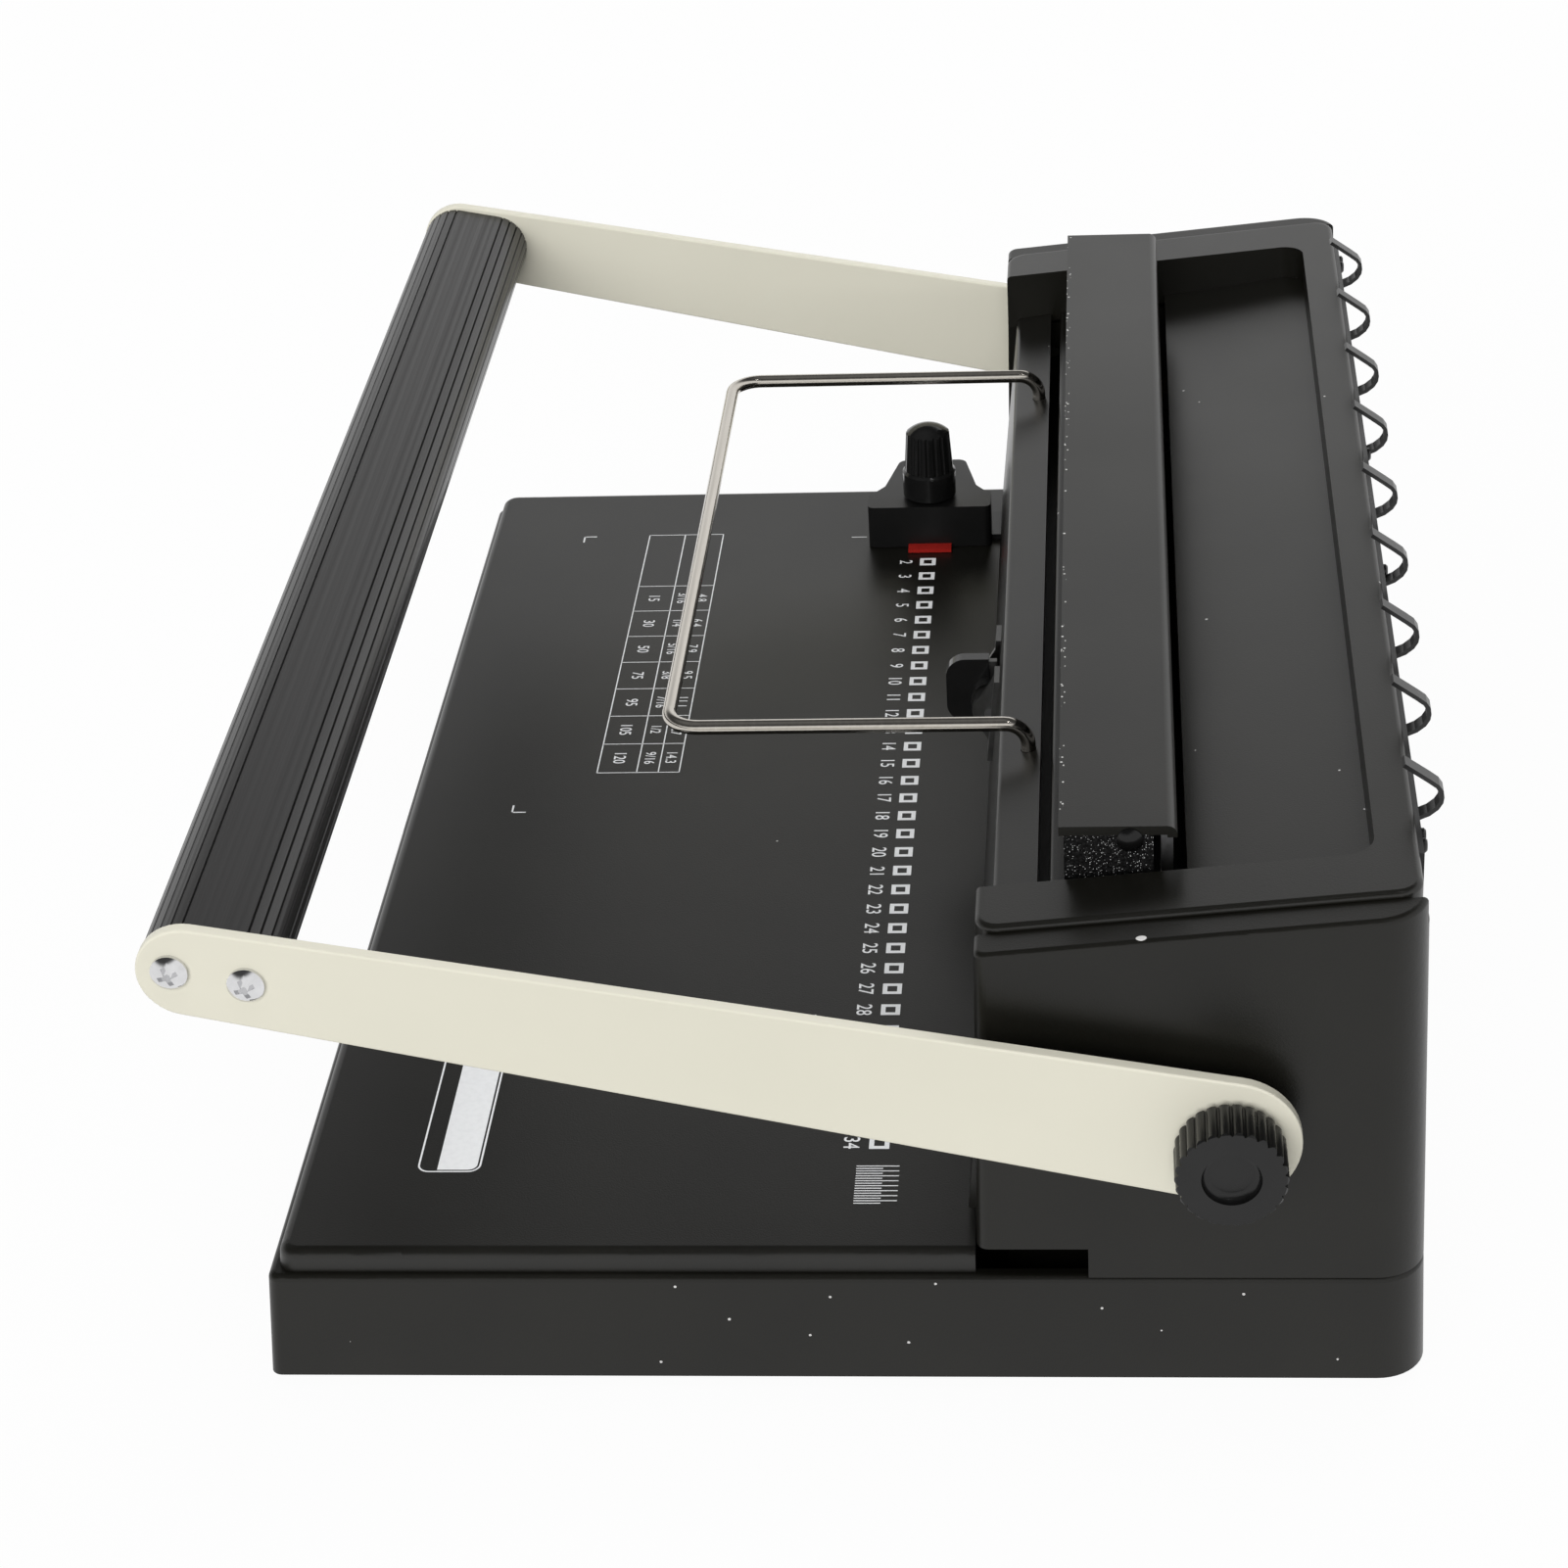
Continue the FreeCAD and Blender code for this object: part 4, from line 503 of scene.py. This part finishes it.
def edge_rule(ink):
    """Block of fine rule lines at the right end, every other one longer."""
    step = RULE_WIDTH / (RULE_LINES - 1)
    for k in range(RULE_LINES):
        length = RULE_SHORT if k % 2 else RULE_LONG
        ink.line_along(RULE_X0 + k * step, RULE_Y0, RULE_Y0 + length, RULE_LINE)


def arc(x, y, r, first, last, steps):
    """Points along an arc, with its first and last angle in degrees."""
    angles = [math.radians(first + (last - first) * k / steps) for k in range(steps + 1)]
    return [(x + r * math.cos(a), y + r * math.sin(a)) for a in angles]


ARC_STEPS = 6


def rounded_rect(x0, x1, y0, y1, r):
    corners = ((x1 - r, y0 + r, -90), (x1 - r, y1 - r, 0), (x0 + r, y1 - r, 90), (x0 + r, y0 + r, 180))
    return [p for x, y, first in corners for p in arc(x, y, r, first, first + 90, ARC_STEPS)]


PLATE = (96.0 * MM, 149.9 * MM, -85.9 * MM, -72.4 * MM)
PLATE_R = 2.6 * MM
PLATE_LINE = 0.4 * MM
BAND_IN = 0.8 * MM
BAND_Y0 = -81.6 * MM
BAND_R = 1.9 * MM


def blank_plate(ink):
    """Outlined name place with a filled band, left without any words."""
    x0, x1, y0, y1 = PLATE
    w = PLATE_LINE
    outer = rounded_rect(x0, x1, y0, y1, PLATE_R)
    inner = rounded_rect(x0 + w, x1 - w, y0 + w, y1 - w, PLATE_R - w)
    for k in range(len(outer)):
        j = (k + 1) % len(outer)
        ink.polygon([outer[k], outer[j], inner[j], inner[k]])
    left, right, top = x0 + BAND_IN, x1 - BAND_IN, y1 - BAND_IN
    rounded = arc(right - BAND_R, top - BAND_R, BAND_R, 0, 90, ARC_STEPS)
    ink.polygon([(left, BAND_Y0), (right, BAND_Y0), *rounded, (left, top)])


def bed_print():
    ink = Ink(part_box("bed_cover")[1].z + INK_LIFT)
    for draw in (hole_scale, capacity_table, corner_marks, edge_rule, blank_plate):
        draw(ink)
    ink.build("bed_print", print_white(), "machine")


# Finishes of the frame's nodes

def finish_nodes():
    """Gives each CAD node its material."""
    fine = (8.0, 700.0, 700.0)
    looks = (
        (satin_black("shell_black", 0.006, roughness=0.34, specular=0.345, grain=0.3, bare=0.5),
         ("base_tray", "side_cheek_right", "side_cheek_left")),
        (satin_black("bed_coat", 0.005, roughness=0.36, specular=0.5, grain=0.35),
         ("bed_cover",)),
        (satin_black("lid_black", 0.006, roughness=0.32, specular=0.5, grain=0.25),
         ("top_lid",)),
        (satin_black("panel_coat", 0.005, roughness=0.32, specular=0.5, grain=0.25),
         ("front_panel", "rear_panel")),
        (satin_black("anvil_coat", 0.005, roughness=0.32, specular=0.43, grain=0.25),
         ("closer_anvil",)),
        (satin_black("blackened_steel", 0.006, roughness=0.42, specular=0.4, grain=0.4),
         ("punch_beam", "guide_rods", "side_frame_right", "side_frame_left")),
        (closer_coat(),
         ("closer_cover",)),
        (speckled_block(),
         ("closer_block",)),
        (drawn_metal("ground_steel", (0.46, 0.46, 0.47), 0.34, fine),
         ("die_plate", "stripper_plate", "paper_stop", "punch_pins", "lift_racks", "pinions",
          "cross_shaft", "lever_pin")),
        (drawn_metal("sintered_bronze", (0.47, 0.33, 0.17), 0.45, (500.0, 500.0, 500.0)),
         ("shaft_bushings",)),
        (drawn_metal("nickel_rod", (0.62, 0.585, 0.53), 0.16, (60.0, 900.0, 900.0), streak=0.03),
         ("paper_support",)),
        (drawn_metal("screw_chrome", (0.74, 0.74, 0.75), 0.07, (300.0, 300.0, 300.0), streak=0.02),
         ("arm_screws", "pivot_washers")),
        (drawn_metal("dull_steel", (0.22, 0.22, 0.215), 0.4, (8.0, 500.0, 500.0)),
         ("lever_bracket", "margin_lever")),
        (painted_cream(),
         ("arm_right", "arm_left")),
        (anodised_black(),
         ("handle_grip",)),
        (plastic("knob_black", 0.006, roughness=0.29, specular=0.36),
         ("pivot_knob_right", "pivot_knob_left")),
        (plastic("gloss_black", 0.006, roughness=0.14, specular=0.55),
         ("guide_knob", "lever_cap")),
        (plastic("hook_black", 0.006, roughness=0.3),
         ("hook_strip", "rear_screws")),
        (plastic("screw_black", 0.004, roughness=0.16, specular=0.3),
         ("closer_end_screws",)),
        (plastic("guide_black", 0.005, roughness=0.34, specular=0.4),
         ("guide_block", "guide_tongue", "waste_drawer")),
        (red_plastic(),
         ("guide_pointer",)),
        (rubber(),
         ("rubber_feet",)),
    )
    for material, names in looks:
        for name in names:
            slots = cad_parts[name].data.materials
            slots.clear()
            slots.append(material)


# Stage, light and camera

BACKGROUND_RAYS = ("Is Glossy Ray", "Is Transmission Ray")


def light_mask(tree):
    """1 for rays that show the background, 0 for the rays that light the part."""
    path = tree.new("ShaderNodeLightPath")
    total = path.outputs["Is Camera Ray"]
    for name in BACKGROUND_RAYS:
        total = tree.math("MAXIMUM", total, path.outputs[name])
    return total


def two_sided(tree, output, lit, shown, share):
    """Joins what lights the part with what the background shows, and links them to the output."""
    mix = tree.new("ShaderNodeMixShader")
    tree.link(share, mix.inputs[0])
    tree.link(lit.outputs[0], mix.inputs[1])
    tree.link(shown.outputs[0], mix.inputs[2])
    tree.link(mix.outputs[0], tree.new(output).inputs["Surface"])


def grey(level):
    return (level, level, level, 1.0)


FLOOR_HALF = 12.0
FLOOR_COLOUR = grey(0.4)
FLOOR_GLOW = 1.04
FLOOR_SHOW = 0.92


def floor():
    """Plain pale floor. A small share of its own light stays in view, so that it keeps the shadow."""
    size = FLOOR_HALF
    mesh = bpy.data.meshes.new("floor")
    corners = [(-size, -size, 0), (size, -size, 0), (size, size, 0), (-size, size, 0)]
    mesh.from_pydata(corners, [], [(0, 1, 2, 3)])
    plane = bpy.data.objects.new("floor", mesh)
    bpy.context.collection.objects.link(plane)
    mat = bpy.data.materials.new("pale_floor")
    mat.use_nodes = True
    mat.node_tree.nodes.clear()
    tree = Tree(mat.node_tree)
    lit = tree.new("ShaderNodeBsdfDiffuse", Color=FLOOR_COLOUR)
    glow = tree.new("ShaderNodeEmission", Strength=FLOOR_GLOW)
    share = tree.math("MULTIPLY", light_mask(tree), FLOOR_SHOW)
    two_sided(tree, "ShaderNodeOutputMaterial", lit, glow, share)
    mesh.materials.append(mat)


# Backdrop brightness against the sine of the height angle: white sweep below, dim ceiling above
BACKDROP = (
    (0.0, 1.0), (0.38, 1.0), (0.46, 0.93), (0.50, 0.82), (0.54, 0.66), (0.57, 0.50),
    (0.605, 0.32), (0.64, 0.19), (0.70, 0.07), (0.85, 0.06), (1.0, 0.16),
)
BACKDROP_LEAN = 0.3
FILL = grey(0.3)


def studio_world():
    """White backdrop low down all round and a dim ceiling, with an even fill for the diffuse light."""
    world = bpy.data.worlds.new("studio")
    bpy.context.scene.world = world
    world.use_nodes = True
    world.node_tree.nodes.clear()
    tree = Tree(world.node_tree)
    coord = tree.new("ShaderNodeTexCoord")
    height = tree.vector("DOT_PRODUCT", coord.outputs["Generated"], (0.0, -BACKDROP_LEAN, 1.0))
    fill = tree.new("ShaderNodeBackground", Color=FILL, Strength=1.0)
    backdrop = tree.new("ShaderNodeBackground", Strength=1.0)
    levels = tree.ramp(height.outputs["Value"], [(place, (level,) * 3) for place, level in BACKDROP])
    tree.link(levels, backdrop.inputs["Color"])
    two_sided(tree, "ShaderNodeOutputWorld", fill, backdrop, light_mask(tree))


LAMP_AIM = Vector((0.0, 0.0, 0.05))
# Name, place, size, watts, and whether glossy rays see the lamp
LAMPS = (
    ("key_box", (8.8, -2.4, 3.8), (8.0, 5.2), 824, False),
    ("back_box", (-4.0, 1.2, 2.0), (3.2, 2.4), 105, False),
    ("top_box", (0.0, 0.0, 4.2), (3.0, 3.0), 52, False),
    ("glint", (1.2, 0.5, 2.6), (0.15, 0.15), 1.6, True),
)


def lamps():
    for name, place, size, power, shines in LAMPS:
        data = bpy.data.lights.new(name, "AREA")
        data.shape = "RECTANGLE"
        data.size, data.size_y = size
        data.energy = power
        lamp = bpy.data.objects.new(name, data)
        lamp.location = place
        lamp.rotation_euler = (LAMP_AIM - Vector(place)).to_track_quat("-Z", "Y").to_euler()
        lamp.visible_glossy = shines
        bpy.context.collection.objects.link(lamp)


CAMERA_PLACE = Vector((0.7988, 0.0623, 0.5029))
CAMERA_DOWN = math.radians(29.98)
CAMERA_TURN = math.radians(5.76)
CAMERA_ROLL = math.radians(-3.48)
CAMERA_LENS = 87.9
CAMERA_SENSOR = 36.0


def camera():
    """Camera at the photograph's viewing angle, from its own heading, fall and roll."""
    level = Vector((-math.cos(CAMERA_TURN), -math.sin(CAMERA_TURN), 0))
    side = Vector((-math.sin(CAMERA_TURN), math.cos(CAMERA_TURN), 0))
    up = math.sin(CAMERA_DOWN) * level + math.cos(CAMERA_DOWN) * Vector((0, 0, 1))
    ahead = math.cos(CAMERA_DOWN) * level - math.sin(CAMERA_DOWN) * Vector((0, 0, 1))
    right = math.cos(CAMERA_ROLL) * side + math.sin(CAMERA_ROLL) * up
    top = math.cos(CAMERA_ROLL) * up - math.sin(CAMERA_ROLL) * side
    turn = Matrix((right, top, -ahead)).transposed()
    data = bpy.data.cameras.new("photo_camera")
    data.lens = CAMERA_LENS
    data.sensor_width = CAMERA_SENSOR
    data.sensor_fit = "HORIZONTAL"
    data.clip_start = 0.01
    view = bpy.data.objects.new("photo_camera", data)
    view.matrix_world = Matrix.Translation(CAMERA_PLACE) @ turn.to_4x4()
    bpy.context.collection.objects.link(view)
    bpy.context.scene.camera = view


finish_nodes()
bed_print()
floor()
studio_world()
lamps()
camera()
bpy.context.scene.view_settings.view_transform = "Standard"
